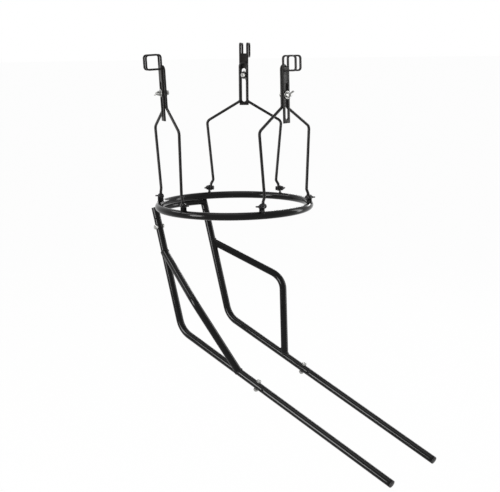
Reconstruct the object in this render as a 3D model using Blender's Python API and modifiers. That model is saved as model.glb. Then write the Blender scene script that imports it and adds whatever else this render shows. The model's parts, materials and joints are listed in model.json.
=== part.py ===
"""Return chute of black tube that hangs on three hook clips.

Three clips hook over a round bar that is bent to a circle. Each clip is bolted to the hairpin
top of a bent wire yoke, and the yokes pivot on six ears of a tube ring. Behind the ring two
bent rails start at an arc tube and run forwards and down below it, with a bowed brace outside
each rail and a bolted extension tube at its end.

Metres, +Z up. The origin is the centre of the bar's circle, at the height of the bar's
centre. +X is the way the chute runs down, and +Y is to the left of that way.
"""

import math

import bmesh
import bpy
from mathutils import Matrix, Vector

# Round bar that the clips hook over
HANGING_BAR_DIAMETER = 0.016

# Clearances and overruns
GAP = 0.0003
HOLE_CLEARANCE = 0.0003
CUT_OVERRUN = 0.003
WELD_DISTANCE = 0.00001

# Chute tube stock
TUBE_DIAMETER = 0.014
TUBE_WALL = 0.0012

# Ring, and the arc tube against its rear underside
RING_RADIUS = 0.143
VENT_DIAMETER = 0.003
ARC_ANGLE_BELOW_RING = 53.0

# Rails: their tops lie just behind the arc tube's ends
RAIL_HALF_SPACING = 0.0705
RAIL_BEHIND_ARC_END = 0.0062
RAIL_TOP_DROP = 0.0075
RAIL_BEND_AHEAD_OF_TOP = 0.0634
RAIL_BEND_DROP = 0.242
RAIL_BEND_RADIUS = 0.040
CHUTE_SLOPE = 22.6

# How far a cutter for a tube's end reaches past its point
END_CUTTER_REACH = 0.038

# Stubs at the top of the rails, and the spigot joints
STUB_LENGTH = 0.024
SPIGOT_LENGTH = 0.030
SPIGOT_WALL = 0.0012
UPPER_BOLT_FROM_SEAM = 0.014
LOWER_BOLT_FROM_SEAM = 0.015
LOWER_BOLT_AHEAD_OF_BRACE = 0.0475

# Extensions and their plugs
EXTENSION_LENGTH = 0.300
PLUG_RIM = 0.003
PLUG_DEPTH = 0.012

# Braces
BRACE_TOP_ALONG_RAIL = 0.088
BRACE_FOOT_ALONG_CHUTE = 0.1525
BRACE_CORNER_AHEAD_OF_BEND = 0.0895
BRACE_CORNER_OUTSIDE_RAIL = 0.0625
BRACE_CORNER_DROP = 0.163
BRACE_BEND_RADIUS = 0.040

# Ring ears and the yoke pivots
EAR_HALF_ANGLE = 30.0
PIVOT_RISE = 0.016
EAR_WIDTH = 0.011
EAR_THICKNESS = 0.003
EAR_SADDLE = 0.004

# Yoke wire
WIRE_DIAMETER = 0.0053
FOOT_DIAMETER = 0.011
FOOT_THICKNESS = 0.0034
FOOT_TONGUE_RISE = 0.0095
FOOT_TONGUE_WIDTH = 0.0054
FOOT_SHOULDER_ANGLE = 30.0
WIRE_START_RISE = 0.008
KINK_INSIDE_FOOT = 0.0046
KINK_RISE = 0.016
SHOULDER_OUTSIDE_EAR = 0.0028
SHOULDER_RISE = 0.133
NECK_HALF_WIDTH = 0.007
NECK_RISE = 0.1726
HAIRPIN_RISE = 0.247
KINK_BEND_RADIUS = 0.006
SHOULDER_BEND_RADIUS = 0.010
NECK_BEND_RADIUS = 0.006

# Hook clip, a bent strip with a slotted strap on the yoke's outer side and a forked hook
CLIP_WIDTH = 0.018
CLIP_THICKNESS = 0.003
CLIP_DEPTH = 0.0309
CLIP_HOOK_HEIGHT = 0.029
CLIP_BEND_RADIUS = 0.005
CLIP_HEIGHT = 0.122
FORK_GAP = 0.0102
FORK_DEPTH = 0.021
SLOT_WIDTH = 0.008
SLOT_BELOW_TOP = 0.050
SLOT_END_MARGIN = 0.007

# Fasteners: shank, width across flats, head height, nut height
SMALL_SHANK = 0.005
SMALL_ACROSS_FLATS = 0.008
SMALL_HEAD = 0.0035
SMALL_NUT = 0.004
SMALL_TAIL = 0.0015
CLIP_SHANK = 0.005
CLIP_ACROSS_FLATS = 0.008
CLIP_HEAD = 0.0035
CLIP_BOLT_TAIL = 0.003
WASHER_DIAMETER = 0.015
WASHER_THICKNESS = 0.0016
INNER_WASHER_DIAMETER = 0.013
INNER_WASHER_THICKNESS = 0.0012

# Wing nuts: hub radius at the base, hub height, span, height, wing thickness, tip radius
EAR_NUT_HUB_RADIUS = 0.0048
EAR_NUT_HUB_HEIGHT = 0.0045
EAR_NUT_SPAN = 0.017
EAR_NUT_HEIGHT = 0.008
EAR_NUT_WING = 0.003
EAR_NUT_TIP = 0.003
CLIP_NUT_HUB_RADIUS = 0.0048
CLIP_NUT_HUB_HEIGHT = 0.0055
CLIP_NUT_SPAN = 0.021
CLIP_NUT_HEIGHT = 0.010
CLIP_NUT_WING = 0.002
CLIP_NUT_TIP = 0.003
HUB_TAPER_SHARE = 0.8
WING_ROOT_SHARE = 0.55
WING_TIP_START = -60.0
WING_TIP_END = 120.0

# Level of a clip's top above the pivots when its hook rests on the bar
CLIP_TOP_LEVEL = 0.267

# Yokes at rest: name, angle round the ring, lean outwards, rise of the clip's top above the
# pivots, drop from there to the clip's bolt, turn of the wing nut
BOLT_DROP = 0.071
BOLT_DROP_HIGH_CLIP = 0.0633
YOKES = (
    ("front", 0.0, -0.8, 0.2655, BOLT_DROP, -48.0),
    ("rear_right", -120.0, 2.5, 0.2705, BOLT_DROP, -70.0),
    ("rear_left", 120.0, 1.5, 0.2863, BOLT_DROP_HIGH_CLIP, -10.0),
)

# Paints and platings: base colour, metallic, roughness
TUBE_PAINT = ((0.012, 0.012, 0.013), 0.0, 0.25)
WIRE_PAINT = ((0.016, 0.016, 0.017), 0.0, 0.38)
CLIP_PAINT = ((0.018, 0.017, 0.017), 0.0, 0.42)
BLACK_PLATING = ((0.020, 0.020, 0.021), 0.7, 0.45)
ZINC_PLATING = ((0.620, 0.620, 0.600), 1.0, 0.32)
PLUG_PLASTIC = ((0.020, 0.020, 0.020), 0.0, 0.50)

# Smoothness counts
SHARP_ANGLE = 35.0
HEX_SIDES = 6
RING_STEPS = 48
ARC_STEPS = 10
BORE_STEPS = 48
TUBE_RESOLUTION = 4
BORE_RESOLUTION = 2
WIRE_RESOLUTION = 2
BEND_STEP = 13.0
SHANK_SIDES = 12
HAIRPIN_STEPS = 6
ROUND_END_STEPS = 5
EYE_STEPS = 15
EAR_STEPS = 10
TURNED_STEPS = 16

# Derived sizes that several pieces share
TUBE_RADIUS = TUBE_DIAMETER / 2
BORE_RADIUS = TUBE_RADIUS - TUBE_WALL
SPIGOT_RADIUS = BORE_RADIUS - GAP
WIRE_RADIUS = WIRE_DIAMETER / 2
RING_DROP = PIVOT_RISE + CLIP_TOP_LEVEL - CLIP_THICKNESS - HANGING_BAR_DIAMETER / 2
CLIP_FACE = WIRE_RADIUS + GAP
CLIP_MIDDLE = CLIP_FACE + CLIP_THICKNESS / 2
CLIP_BACK = CLIP_FACE + CLIP_THICKNESS
CHORD_DISTANCE = RING_RADIUS * math.cos(math.radians(EAR_HALF_ANGLE))
EAR_OFFSET = RING_RADIUS * math.sin(math.radians(EAR_HALF_ANGLE))
FOOT_OFFSET = EAR_OFFSET - EAR_THICKNESS / 2 - GAP - FOOT_THICKNESS / 2
ARC_SPACING = TUBE_DIAMETER + GAP
ARC_RADIUS = RING_RADIUS + ARC_SPACING * math.cos(math.radians(ARC_ANGLE_BELOW_RING))
ARC_DROP = ARC_SPACING * math.sin(math.radians(ARC_ANGLE_BELOW_RING))
ARC_END_SETBACK = math.sqrt(ARC_RADIUS ** 2 - RAIL_HALF_SPACING ** 2)
RAIL_TOP_SETBACK = ARC_END_SETBACK + RAIL_BEHIND_ARC_END
RAIL_BEND_SETBACK = RAIL_TOP_SETBACK - RAIL_BEND_AHEAD_OF_TOP
RAIL_RUN_BELOW_BEND = (BRACE_FOOT_ALONG_CHUTE + LOWER_BOLT_AHEAD_OF_BRACE
                       + LOWER_BOLT_FROM_SEAM)

# A plate's outline is drawn in X and Y: this turn puts it across a pivot axis, on Y and Z
ACROSS_X = Matrix(((0, 0, 1), (1, 0, 0), (0, 1, 0))).to_4x4()
# This turn stands a plate's outline up on X and Z
UPRIGHT = Matrix.Rotation(math.pi / 2, 4, "X")


def clear_scene():
    """Remove what the scene holds."""
    for obj in list(bpy.data.objects):
        bpy.data.objects.remove(obj)


def new_collection(name):
    """Make a collection in the scene."""
    collection = bpy.data.collections.new(name)
    bpy.context.scene.collection.children.link(collection)
    return collection


def make_material(name, colour, metallic, roughness):
    """Make a plain Principled material."""
    material = bpy.data.materials.new(name)
    material.use_nodes = True
    shader = material.node_tree.nodes["Principled BSDF"]
    shader.inputs["Base Color"].default_value = (*colour, 1.0)
    shader.inputs["Metallic"].default_value = metallic
    shader.inputs["Roughness"].default_value = roughness
    return material


def evaluated_mesh(obj):
    """Return the mesh that the viewport shows for an object."""
    bpy.context.view_layer.update()
    graph = bpy.context.evaluated_depsgraph_get()
    return bpy.data.meshes.new_from_object(obj.evaluated_get(graph))


def scratch_object(data):
    """Put data in the cutter collection as a hidden helper."""
    obj = bpy.data.objects.new("helper", data)
    CUTTERS.objects.link(obj)
    obj.hide_render = True
    obj.display_type = "WIRE"
    return obj


def welded(mesh):
    """Join the loose caps of a mesh to its sides."""
    work = bmesh.new()
    work.from_mesh(mesh)
    bmesh.ops.remove_doubles(work, verts=work.verts, dist=WELD_DISTANCE)
    work.to_mesh(mesh)
    work.free()
    return mesh


def curve_mesh(data):
    """Turn curve data into a welded mesh and drop the curve."""
    obj = scratch_object(data)
    mesh = welded(evaluated_mesh(obj))
    bpy.data.objects.remove(obj)
    bpy.data.curves.remove(data)
    return mesh


def moved(mesh, matrix):
    """Move a mesh's points by a matrix."""
    mesh.transform(matrix)
    return mesh


def swept(points, radius, resolution, caps=True, closed=False):
    """Carry a round section along straight runs between points."""
    data = bpy.data.curves.new("sweep", "CURVE")
    data.dimensions = "3D"
    data.bevel_depth = radius
    data.bevel_resolution = resolution
    data.use_fill_caps = caps
    spline = data.splines.new("POLY")
    spline.points.add(len(points) - 1)
    for spot, point in zip(spline.points, points):
        spot.co = (*point, 1.0)
    spline.use_cyclic_u = closed
    return curve_mesh(data)


def plate(outlines, thickness):
    """Give flat outlines a thickness, with inner outlines as holes."""
    data = bpy.data.curves.new("plate", "CURVE")
    data.dimensions = "2D"
    data.fill_mode = "BOTH"
    data.extrude = thickness / 2
    for outline in outlines:
        spline = data.splines.new("POLY")
        spline.points.add(len(outline) - 1)
        for spot, (x, y) in zip(spline.points, outline):
            spot.co = (x, y, 0.0, 1.0)
        spline.use_cyclic_u = True
    return curve_mesh(data)


def prism(radius, low, high, sides, top_radius=None):
    """Make a cylinder, cone or prism on Z between two heights."""
    work = bmesh.new()
    upper = radius if top_radius is None else top_radius
    bmesh.ops.create_cone(work, cap_ends=True, segments=sides, radius1=radius, radius2=upper,
                          depth=high - low,
                          matrix=Matrix.Translation((0, 0, (low + high) / 2)))
    mesh = bpy.data.meshes.new("prism")
    work.to_mesh(mesh)
    work.free()
    return mesh


def turned(profile, steps):
    """Turn a closed profile of radius and height about Z."""
    mesh = bpy.data.meshes.new("profile")
    count = len(profile)
    corners = [(radius, 0.0, height) for radius, height in profile]
    edges = [(index, (index + 1) % count) for index in range(count)]
    mesh.from_pydata(corners, edges, [])
    obj = scratch_object(mesh)
    screw = obj.modifiers.new("turn", "SCREW")
    screw.steps = steps
    screw.render_steps = steps
    screw.use_merge_vertices = True
    screw.merge_threshold = WELD_DISTANCE
    result = evaluated_mesh(obj)
    bpy.data.objects.remove(obj)
    bpy.data.meshes.remove(mesh)
    return result


def combined(mesh, others, operation):
    """Join or cut a mesh with other meshes, one after another."""
    target = scratch_object(mesh)
    helpers = []
    for other in others:
        helper = scratch_object(other)
        boolean = target.modifiers.new("boolean", "BOOLEAN")
        boolean.operation = operation
        boolean.solver = "EXACT"
        boolean.object = helper
        helpers.append(helper)
    result = evaluated_mesh(target)
    for obj in [target] + helpers:
        old = obj.data
        bpy.data.objects.remove(obj)
        bpy.data.meshes.remove(old)
    return result


def cut(mesh, *cutters):
    """Take cutters away from a mesh."""
    return combined(mesh, cutters, "DIFFERENCE")


def joined(mesh, *others):
    """Unite a mesh with others."""
    return combined(mesh, others, "UNION")


def circle(radius, sides, centre=(0.0, 0.0), start=0.0):
    """Points of a circle in a plane."""
    angles = [start + 2 * math.pi * index / sides for index in range(sides)]
    return [(centre[0] + radius * math.cos(a), centre[1] + radius * math.sin(a)) for a in angles]


def arc(centre, radius, start, end, steps):
    """Points along an arc in a plane, angles in degrees."""
    points = []
    for index in range(steps + 1):
        angle = math.radians(start + (end - start) * index / steps)
        points.append((centre[0] + radius * math.cos(angle), centre[1] + radius * math.sin(angle)))
    return points


def bent(corners, radii):
    """Round the inner corners of a path, each with its own bend radius."""
    points = [Vector(corners[0])]
    for before, corner, after, radius in zip(corners, corners[1:], corners[2:], radii):
        corner = Vector(corner)
        into = (corner - Vector(before)).normalized()
        out = (Vector(after) - corner).normalized()
        turn = into.angle(out)
        reach = radius * math.tan(turn / 2)
        start = corner - into * reach
        side = (out - into * out.dot(into)).normalized()
        centre = start + side * radius
        steps = max(2, math.ceil(math.degrees(turn) / BEND_STEP))
        for index in range(steps + 1):
            angle = turn * index / steps
            points.append(centre - side * radius * math.cos(angle) + into * radius * math.sin(angle))
    points.append(Vector(corners[-1]))
    return points


def strip(path, thickness):
    """Outline of a flat strip that follows a path in a plane."""
    left, right = [], []
    for index, point in enumerate(path):
        before = path[max(index - 1, 0)]
        after = path[min(index + 1, len(path) - 1)]
        along = Vector((after[0] - before[0], after[1] - before[1])).normalized()
        across = Vector((-along.y, along.x)) * thickness / 2
        left.append((point[0] + across.x, point[1] + across.y))
        right.append((point[0] - across.x, point[1] - across.y))
    return left + right[::-1]


def aimed(origin, direction, side=Vector((0, 1, 0))):
    """Matrix that puts Z along a direction, with X square to a side vector."""
    z = Vector(direction).normalized()
    x = Vector(side).cross(z).normalized()
    y = z.cross(x)
    turn = Matrix((x, y, z)).transposed().to_4x4()
    return Matrix.Translation(origin) @ turn


def add_piece(name, mesh, material, matrix, parent, smooth=True):
    """Put a mesh in the part as a named piece under its parent."""
    obj = bpy.data.objects.new(name, mesh)
    PART.objects.link(obj)
    mesh.materials.clear()
    mesh.materials.append(material)
    if smooth:
        mesh.shade_smooth()
        mesh.set_sharp_from_angle(angle=math.radians(SHARP_ANGLE))
    obj.parent = parent
    obj.matrix_local = matrix
    return obj


def add_empty(name, matrix, parent=None):
    """Add an empty that places the pieces under it."""
    empty = bpy.data.objects.new(name, None)
    PART.objects.link(empty)
    empty.parent = parent
    empty.matrix_local = matrix
    return empty


def hollow(points, caps_cut=()):
    """A tube of the chute's stock along a path, cut by the given meshes."""
    skin = swept(points, TUBE_RADIUS, TUBE_RESOLUTION, caps=False)
    obj = scratch_object(skin)
    wall = obj.modifiers.new("wall", "SOLIDIFY")
    wall.thickness = TUBE_WALL
    wall.offset = -1.0
    mesh = evaluated_mesh(obj)
    bpy.data.objects.remove(obj)
    bpy.data.meshes.remove(skin)
    return cut(mesh, *caps_cut) if caps_cut else mesh


def ring_points(radius, steps):
    """Points of a level circle about Z."""
    return [(x, y, 0.0) for x, y in circle(radius, steps)]


def hex_radius(across_flats):
    """Radius to the corners of a hexagon."""
    return across_flats / 2 / math.cos(math.pi / HEX_SIDES)


def bolt_mesh(shank, across_flats, head, length):
    """Hex bolt on Z: the head lies below zero and the shank above."""
    hexagon = prism(hex_radius(across_flats), -head, 0, HEX_SIDES)
    rod = prism(shank / 2, -head / 2, length, SHANK_SIDES)
    return joined(hexagon, rod)


def nut_mesh(shank, across_flats, height):
    """Hex nut on Z, from zero up."""
    corners = circle(hex_radius(across_flats), HEX_SIDES)
    bore = circle(shank / 2 + HOLE_CLEARANCE, SHANK_SIDES)
    return moved(plate([corners, bore], height), Matrix.Translation((0, 0, height / 2)))


def wing_nut_mesh(shank, hub_radius, hub_height, span, height, wing, tip):
    """Wing nut on Z, from zero up, with its wings along X."""
    tip_centre = (span / 2 - tip, height - tip)
    root = hub_radius * WING_ROOT_SHARE
    right = [(root, wing / 2)] + arc(tip_centre, tip, WING_TIP_START, WING_TIP_END,
                                       ROUND_END_STEPS)
    right = right + [(root, hub_height - wing / 2)]
    left = [(-x, y) for x, y in right[::-1]]
    wings = moved(plate([right + left], wing), UPRIGHT)
    hub = prism(hub_radius, 0, hub_height, TURNED_STEPS, hub_radius * HUB_TAPER_SHARE)
    bore = prism(shank / 2 + HOLE_CLEARANCE, -CUT_OVERRUN, height + CUT_OVERRUN, SHANK_SIDES)
    return cut(joined(hub, wings), bore)


def rail_places(side):
    """Corner points and directions of one rail, in the ring's frame."""
    y = side * RAIL_HALF_SPACING
    top = Vector((-RAIL_TOP_SETBACK, y, -RAIL_TOP_DROP))
    bend = Vector((-RAIL_BEND_SETBACK, y, -RAIL_BEND_DROP))
    down = (bend - top).normalized()
    slope = math.radians(CHUTE_SLOPE)
    forward = Vector((math.cos(slope), 0, -math.sin(slope)))
    return {
        "top": top,
        "bend": bend,
        "down": down,
        "forward": forward,
        "upper_seam": top + down * STUB_LENGTH,
        "lower_seam": bend + forward * RAIL_RUN_BELOW_BEND,
    }


def tube_cutter(point, direction):
    """Clearance cylinder about a tube's axis, for pieces that end on that tube."""
    cylinder = prism(TUBE_RADIUS + GAP, -END_CUTTER_REACH, END_CUTTER_REACH, TURNED_STEPS)
    return moved(cylinder, aimed(point, direction))


def hole_cutter(point, direction):
    """Cylinder for a small bolt's hole through a tube."""
    reach = TUBE_RADIUS + CUT_OVERRUN
    return moved(prism(SMALL_SHANK / 2 + HOLE_CLEARANCE, -reach, reach, SHANK_SIDES),
                 aimed(point, direction, Vector((1, 0, 0))))


def add_ring(parent):
    """The hollow ring, with a drain hole below."""
    outer = swept(ring_points(RING_RADIUS, RING_STEPS), TUBE_RADIUS, TUBE_RESOLUTION, closed=True)
    bore = swept(ring_points(RING_RADIUS, BORE_STEPS), BORE_RADIUS, BORE_RESOLUTION, closed=True)
    vent = moved(prism(VENT_DIAMETER / 2, -TUBE_DIAMETER, 0, SHANK_SIDES),
                 Matrix.Translation((RING_RADIUS, 0, 0)))
    add_piece("ring_tube", cut(outer, vent, bore), BLACK_TUBE, Matrix(), parent)


def add_arc(parent):
    """The arc tube below the rear of the ring, which ends against the two stubs."""
    half_sweep = math.degrees(math.asin(RAIL_HALF_SPACING / ARC_RADIUS))
    flat = arc((0.0, 0.0), ARC_RADIUS, 180 - half_sweep, 180 + half_sweep, ARC_STEPS)
    points = [(x, y, -ARC_DROP) for x, y in flat]
    cutters = []
    for side in (1, -1):
        place = rail_places(side)
        cutters.append(tube_cutter(place["top"], place["down"]))
    add_piece("arc_tube", hollow(points, cutters), BLACK_TUBE, Matrix(), parent)


def spigot_profile(body_length):
    """Profile of a tube whose lower end is drawn down to slide into the next tube."""
    inner = SPIGOT_RADIUS - SPIGOT_WALL
    seam = GAP
    return [
        (TUBE_RADIUS, body_length),
        (TUBE_RADIUS, seam),
        (SPIGOT_RADIUS, seam),
        (SPIGOT_RADIUS, -SPIGOT_LENGTH),
        (inner, -SPIGOT_LENGTH),
        (inner, body_length),
    ]


def add_rail_set(parent, side, word):
    """Stub, rail, brace, extension, plug and fasteners on one side of the chute."""
    place = rail_places(side)
    down, forward = place["down"], place["forward"]
    across = Vector((0, side, 0))
    square = Vector((-forward.z, 0, forward.x))
    upper_bolt = place["upper_seam"] + down * UPPER_BOLT_FROM_SEAM
    lower_bolt = place["lower_seam"] - forward * LOWER_BOLT_FROM_SEAM

    stub = moved(turned(spigot_profile(STUB_LENGTH), TURNED_STEPS),
                 aimed(place["upper_seam"], -down))
    add_piece("rail_stub_" + word, cut(stub, hole_cutter(upper_bolt, across)), BLACK_TUBE,
              Matrix(), parent)

    path = bent([place["upper_seam"], place["bend"], place["lower_seam"]], [RAIL_BEND_RADIUS])
    holes = [hole_cutter(upper_bolt, across), hole_cutter(lower_bolt, square)]
    add_piece("rail_" + word, hollow(path, holes), BLACK_TUBE, Matrix(), parent)

    extension = moved(turned(spigot_profile(EXTENSION_LENGTH), TURNED_STEPS),
                      aimed(place["lower_seam"], forward))
    add_piece("extension_" + word, cut(extension, hole_cutter(lower_bolt, square)), BLACK_TUBE,
              Matrix(), parent)

    brace_top = place["top"] + down * BRACE_TOP_ALONG_RAIL
    brace_foot = place["bend"] + forward * BRACE_FOOT_ALONG_CHUTE
    corner = Vector((BRACE_CORNER_AHEAD_OF_BEND - RAIL_BEND_SETBACK,
                     side * (RAIL_HALF_SPACING + BRACE_CORNER_OUTSIDE_RAIL),
                     -BRACE_CORNER_DROP))
    path = bent([brace_top, corner, brace_foot], [BRACE_BEND_RADIUS])
    ends = [tube_cutter(brace_top, down), tube_cutter(brace_foot, forward)]
    add_piece("brace_" + word, hollow(path, ends), BLACK_TUBE, Matrix(), parent)

    bore = SPIGOT_RADIUS - SPIGOT_WALL
    plug_profile = [
        (0.0, PLUG_RIM),
        (TUBE_RADIUS, PLUG_RIM),
        (TUBE_RADIUS, GAP),
        (bore - GAP, GAP),
        (bore - GAP, -PLUG_DEPTH),
        (0.0, -PLUG_DEPTH),
    ]
    end = place["lower_seam"] + forward * EXTENSION_LENGTH
    add_piece("end_plug_" + word, turned(plug_profile, TURNED_STEPS), BLACK_PLASTIC,
              aimed(end, forward), parent)

    for level, point, way in (("upper", upper_bolt, across), ("lower", lower_bolt, -square)):
        seat = TUBE_RADIUS + GAP
        length = 2 * seat + SMALL_NUT + GAP + SMALL_TAIL
        bolt = bolt_mesh(SMALL_SHANK, SMALL_ACROSS_FLATS, SMALL_HEAD, length)
        frame = aimed(point - way * seat, way, Vector((1, 0, 0)))
        add_piece(level + "_bolt_" + word, bolt, ZINC, frame, parent)
        nut = nut_mesh(SMALL_SHANK, SMALL_ACROSS_FLATS, SMALL_NUT)
        frame = aimed(point + way * seat, way, Vector((1, 0, 0)))
        add_piece(level + "_nut_" + word, nut, ZINC, frame, parent)


def foot_outline():
    """Flattened foot of the yoke wire: a round eye that narrows up to the wire."""
    radius = FOOT_DIAMETER / 2
    half = FOOT_TONGUE_WIDTH / 2
    round_part = arc((0.0, 0.0), radius, FOOT_SHOULDER_ANGLE, -180 - FOOT_SHOULDER_ANGLE,
                     EYE_STEPS)
    return [(half, FOOT_TONGUE_RISE)] + round_part + [(-half, FOOT_TONGUE_RISE)]


def yoke_mesh():
    """Bent wire yoke in its pivot's frame: X along the pivot, Y outwards, Z up."""
    half = [
        (FOOT_OFFSET, 0, WIRE_START_RISE),
        (FOOT_OFFSET - KINK_INSIDE_FOOT, 0, KINK_RISE),
        (EAR_OFFSET + SHOULDER_OUTSIDE_EAR, 0, SHOULDER_RISE),
        (NECK_HALF_WIDTH, 0, NECK_RISE),
        (NECK_HALF_WIDTH, 0, HAIRPIN_RISE - NECK_HALF_WIDTH),
    ]
    radii = [KINK_BEND_RADIUS, SHOULDER_BEND_RADIUS, NECK_BEND_RADIUS]
    side = bent(half, radii)
    top = arc((0.0, HAIRPIN_RISE - NECK_HALF_WIDTH), NECK_HALF_WIDTH, 0, 180, HAIRPIN_STEPS)
    hairpin = [Vector((x, 0, z)) for x, z in top[1:-1]]
    mirrored = [Vector((-point.x, 0, point.z)) for point in side[::-1]]
    wire = swept(side + hairpin + mirrored, WIRE_RADIUS, WIRE_RESOLUTION)
    hole = circle(SMALL_SHANK / 2 + HOLE_CLEARANCE, SHANK_SIDES)
    feet = []
    for x in (FOOT_OFFSET, -FOOT_OFFSET):
        foot = plate([foot_outline(), hole], FOOT_THICKNESS)
        feet.append(moved(foot, Matrix.Translation((x, 0, 0)) @ ACROSS_X))
    return joined(wire, *feet)


def clip_mesh():
    """Hook clip below its own top: X across, Y outwards, Z up, the yoke's wire at Y zero."""
    crown = -CLIP_THICKNESS / 2
    lip = -CLIP_HOOK_HEIGHT + CLIP_THICKNESS / 2
    outside = CLIP_FACE + CLIP_DEPTH - CLIP_THICKNESS / 2
    corners = [
        (CLIP_MIDDLE, -CLIP_HEIGHT, 0),
        (CLIP_MIDDLE, crown, 0),
        (outside, crown, 0),
        (outside, lip, 0),
        (CLIP_BACK + GAP, lip, 0),
    ]
    path = [(point.x, point.y) for point in bent(corners, [CLIP_BEND_RADIUS] * 3)]
    body = moved(plate([strip(path, CLIP_THICKNESS)], CLIP_WIDTH), ACROSS_X)

    step = CLIP_BACK + GAP / 2
    fork = [
        (CLIP_FACE - CUT_OVERRUN, -FORK_DEPTH),
        (step, -FORK_DEPTH),
        (step, lip - CLIP_THICKNESS),
        (outside + CLIP_THICKNESS, lip - CLIP_THICKNESS),
        (outside + CLIP_THICKNESS, CUT_OVERRUN),
        (CLIP_FACE - CUT_OVERRUN, CUT_OVERRUN),
    ]
    fork_cutter = moved(plate([fork], FORK_GAP), ACROSS_X)

    radius = SLOT_WIDTH / 2
    high = -SLOT_BELOW_TOP - radius
    low = -CLIP_HEIGHT + SLOT_END_MARGIN + radius
    slot = arc((0.0, high), radius, 0, 180, ROUND_END_STEPS)
    slot = slot + arc((0.0, low), radius, 180, 360, ROUND_END_STEPS)
    slot_cutter = moved(plate([slot], CLIP_THICKNESS + CUT_OVERRUN),
                        Matrix.Translation((0, CLIP_MIDDLE, 0)) @ UPRIGHT)
    return cut(body, fork_cutter, slot_cutter)


def washer_mesh(diameter, thickness):
    """Washer for a clip's bolt, halved by the XY plane."""
    bore = circle(CLIP_SHANK / 2 + HOLE_CLEARANCE, SHANK_SIDES)
    return plate([circle(diameter / 2, TURNED_STEPS), bore], thickness)


def ear_mesh(pivot, x):
    """Upright ear of the ring, in the ring's frame, hollowed below to sit on the tube."""
    radius = EAR_WIDTH / 2
    base = TUBE_RADIUS - PIVOT_RISE - EAR_SADDLE
    outline = [(radius, base)] + arc((0.0, 0.0), radius, 0, 180, EAR_STEPS)
    outline = outline + [(-radius, base)]
    hole = circle(SMALL_SHANK / 2 + HOLE_CLEARANCE, SHANK_SIDES)
    ear = plate([outline, hole], EAR_THICKNESS)
    moved(ear, pivot @ Matrix.Translation((x, 0, 0)) @ ACROSS_X)
    seat = swept(ring_points(RING_RADIUS, RING_STEPS), TUBE_RADIUS + GAP, TUBE_RESOLUTION,
                 closed=True)
    return cut(ear, seat)


def add_pivots(parent, name, pivot):
    """The two ears of one yoke, with their bolts and wing nuts."""
    inner_face = EAR_OFFSET - EAR_THICKNESS / 2 - GAP - FOOT_THICKNESS
    head_face = inner_face - GAP
    nut_face = EAR_OFFSET + EAR_THICKNESS / 2 + GAP
    length = nut_face - head_face + EAR_NUT_HUB_HEIGHT + SMALL_TAIL
    for side, word in ((1, "a"), (-1, "b")):
        tag = name + "_" + word
        add_piece("ear_" + tag, ear_mesh(pivot, side * EAR_OFFSET), BLACK_TUBE, Matrix(), parent)
        way = Vector((side, 0, 0))
        bolt = bolt_mesh(SMALL_SHANK, SMALL_ACROSS_FLATS, SMALL_HEAD, length)
        frame = pivot @ aimed(way * head_face, way)
        add_piece("ear_bolt_" + tag, bolt, BLACK_ZINC, frame, parent)
        nut = wing_nut_mesh(SMALL_SHANK, EAR_NUT_HUB_RADIUS, EAR_NUT_HUB_HEIGHT, EAR_NUT_SPAN,
                            EAR_NUT_HEIGHT, EAR_NUT_WING, EAR_NUT_TIP)
        frame = pivot @ aimed(way * nut_face, way, Vector((0, 0, 1)))
        add_piece("ear_wing_nut_" + tag, nut, BLACK_ZINC, frame, parent)


def add_yoke(parent, name, angle, lean, top_rise, bolt_drop, nut_turn):
    """One yoke with its hook clip, bolt, washers and wing nut, about its pivot."""
    turn = Matrix.Rotation(math.radians(angle) - math.pi / 2, 4, "Z")
    upright = turn @ Matrix.Translation((0, CHORD_DISTANCE, PIVOT_RISE))
    add_pivots(parent, name, upright)
    hinge = add_empty("hinge_" + name, upright @ Matrix.Rotation(-math.radians(lean), 4, "X"),
                      parent)
    add_piece("yoke_" + name, yoke_mesh(), BLACK_WIRE, Matrix(), hinge)

    slide = add_empty("slide_" + name, Matrix.Translation((0, 0, top_rise - bolt_drop)), hinge)
    add_piece("clip_" + name, clip_mesh(), BLACK_CLIP, Matrix.Translation((0, 0, bolt_drop)), slide)

    outward = Vector((0, 1, 0))
    side = Vector((1, 0, 0))
    inner_face = -(WIRE_RADIUS + GAP)
    middle = inner_face - INNER_WASHER_THICKNESS / 2
    washer = washer_mesh(INNER_WASHER_DIAMETER, INNER_WASHER_THICKNESS)
    add_piece("clip_inner_washer_" + name, washer, BLACK_ZINC,
              aimed(outward * middle, outward, side), slide)
    head_face = inner_face - INNER_WASHER_THICKNESS - GAP
    washer_face = CLIP_BACK + GAP
    nut_face = washer_face + WASHER_THICKNESS + GAP
    length = nut_face - head_face + CLIP_NUT_HUB_HEIGHT + CLIP_BOLT_TAIL
    bolt = bolt_mesh(CLIP_SHANK, CLIP_ACROSS_FLATS, CLIP_HEAD, length)
    add_piece("clip_bolt_" + name, bolt, ZINC, aimed(outward * head_face, outward, side), slide)
    middle = washer_face + WASHER_THICKNESS / 2
    washer = washer_mesh(WASHER_DIAMETER, WASHER_THICKNESS)
    add_piece("clip_washer_" + name, washer, ZINC, aimed(outward * middle, outward, side), slide)
    nut = wing_nut_mesh(CLIP_SHANK, CLIP_NUT_HUB_RADIUS, CLIP_NUT_HUB_HEIGHT, CLIP_NUT_SPAN,
                        CLIP_NUT_HEIGHT, CLIP_NUT_WING, CLIP_NUT_TIP)
    frame = aimed(outward * nut_face, outward, side)
    frame = frame @ Matrix.Rotation(math.radians(nut_turn), 4, "Z")
    add_piece("clip_wing_nut_" + name, nut, ZINC, frame, slide)


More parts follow.
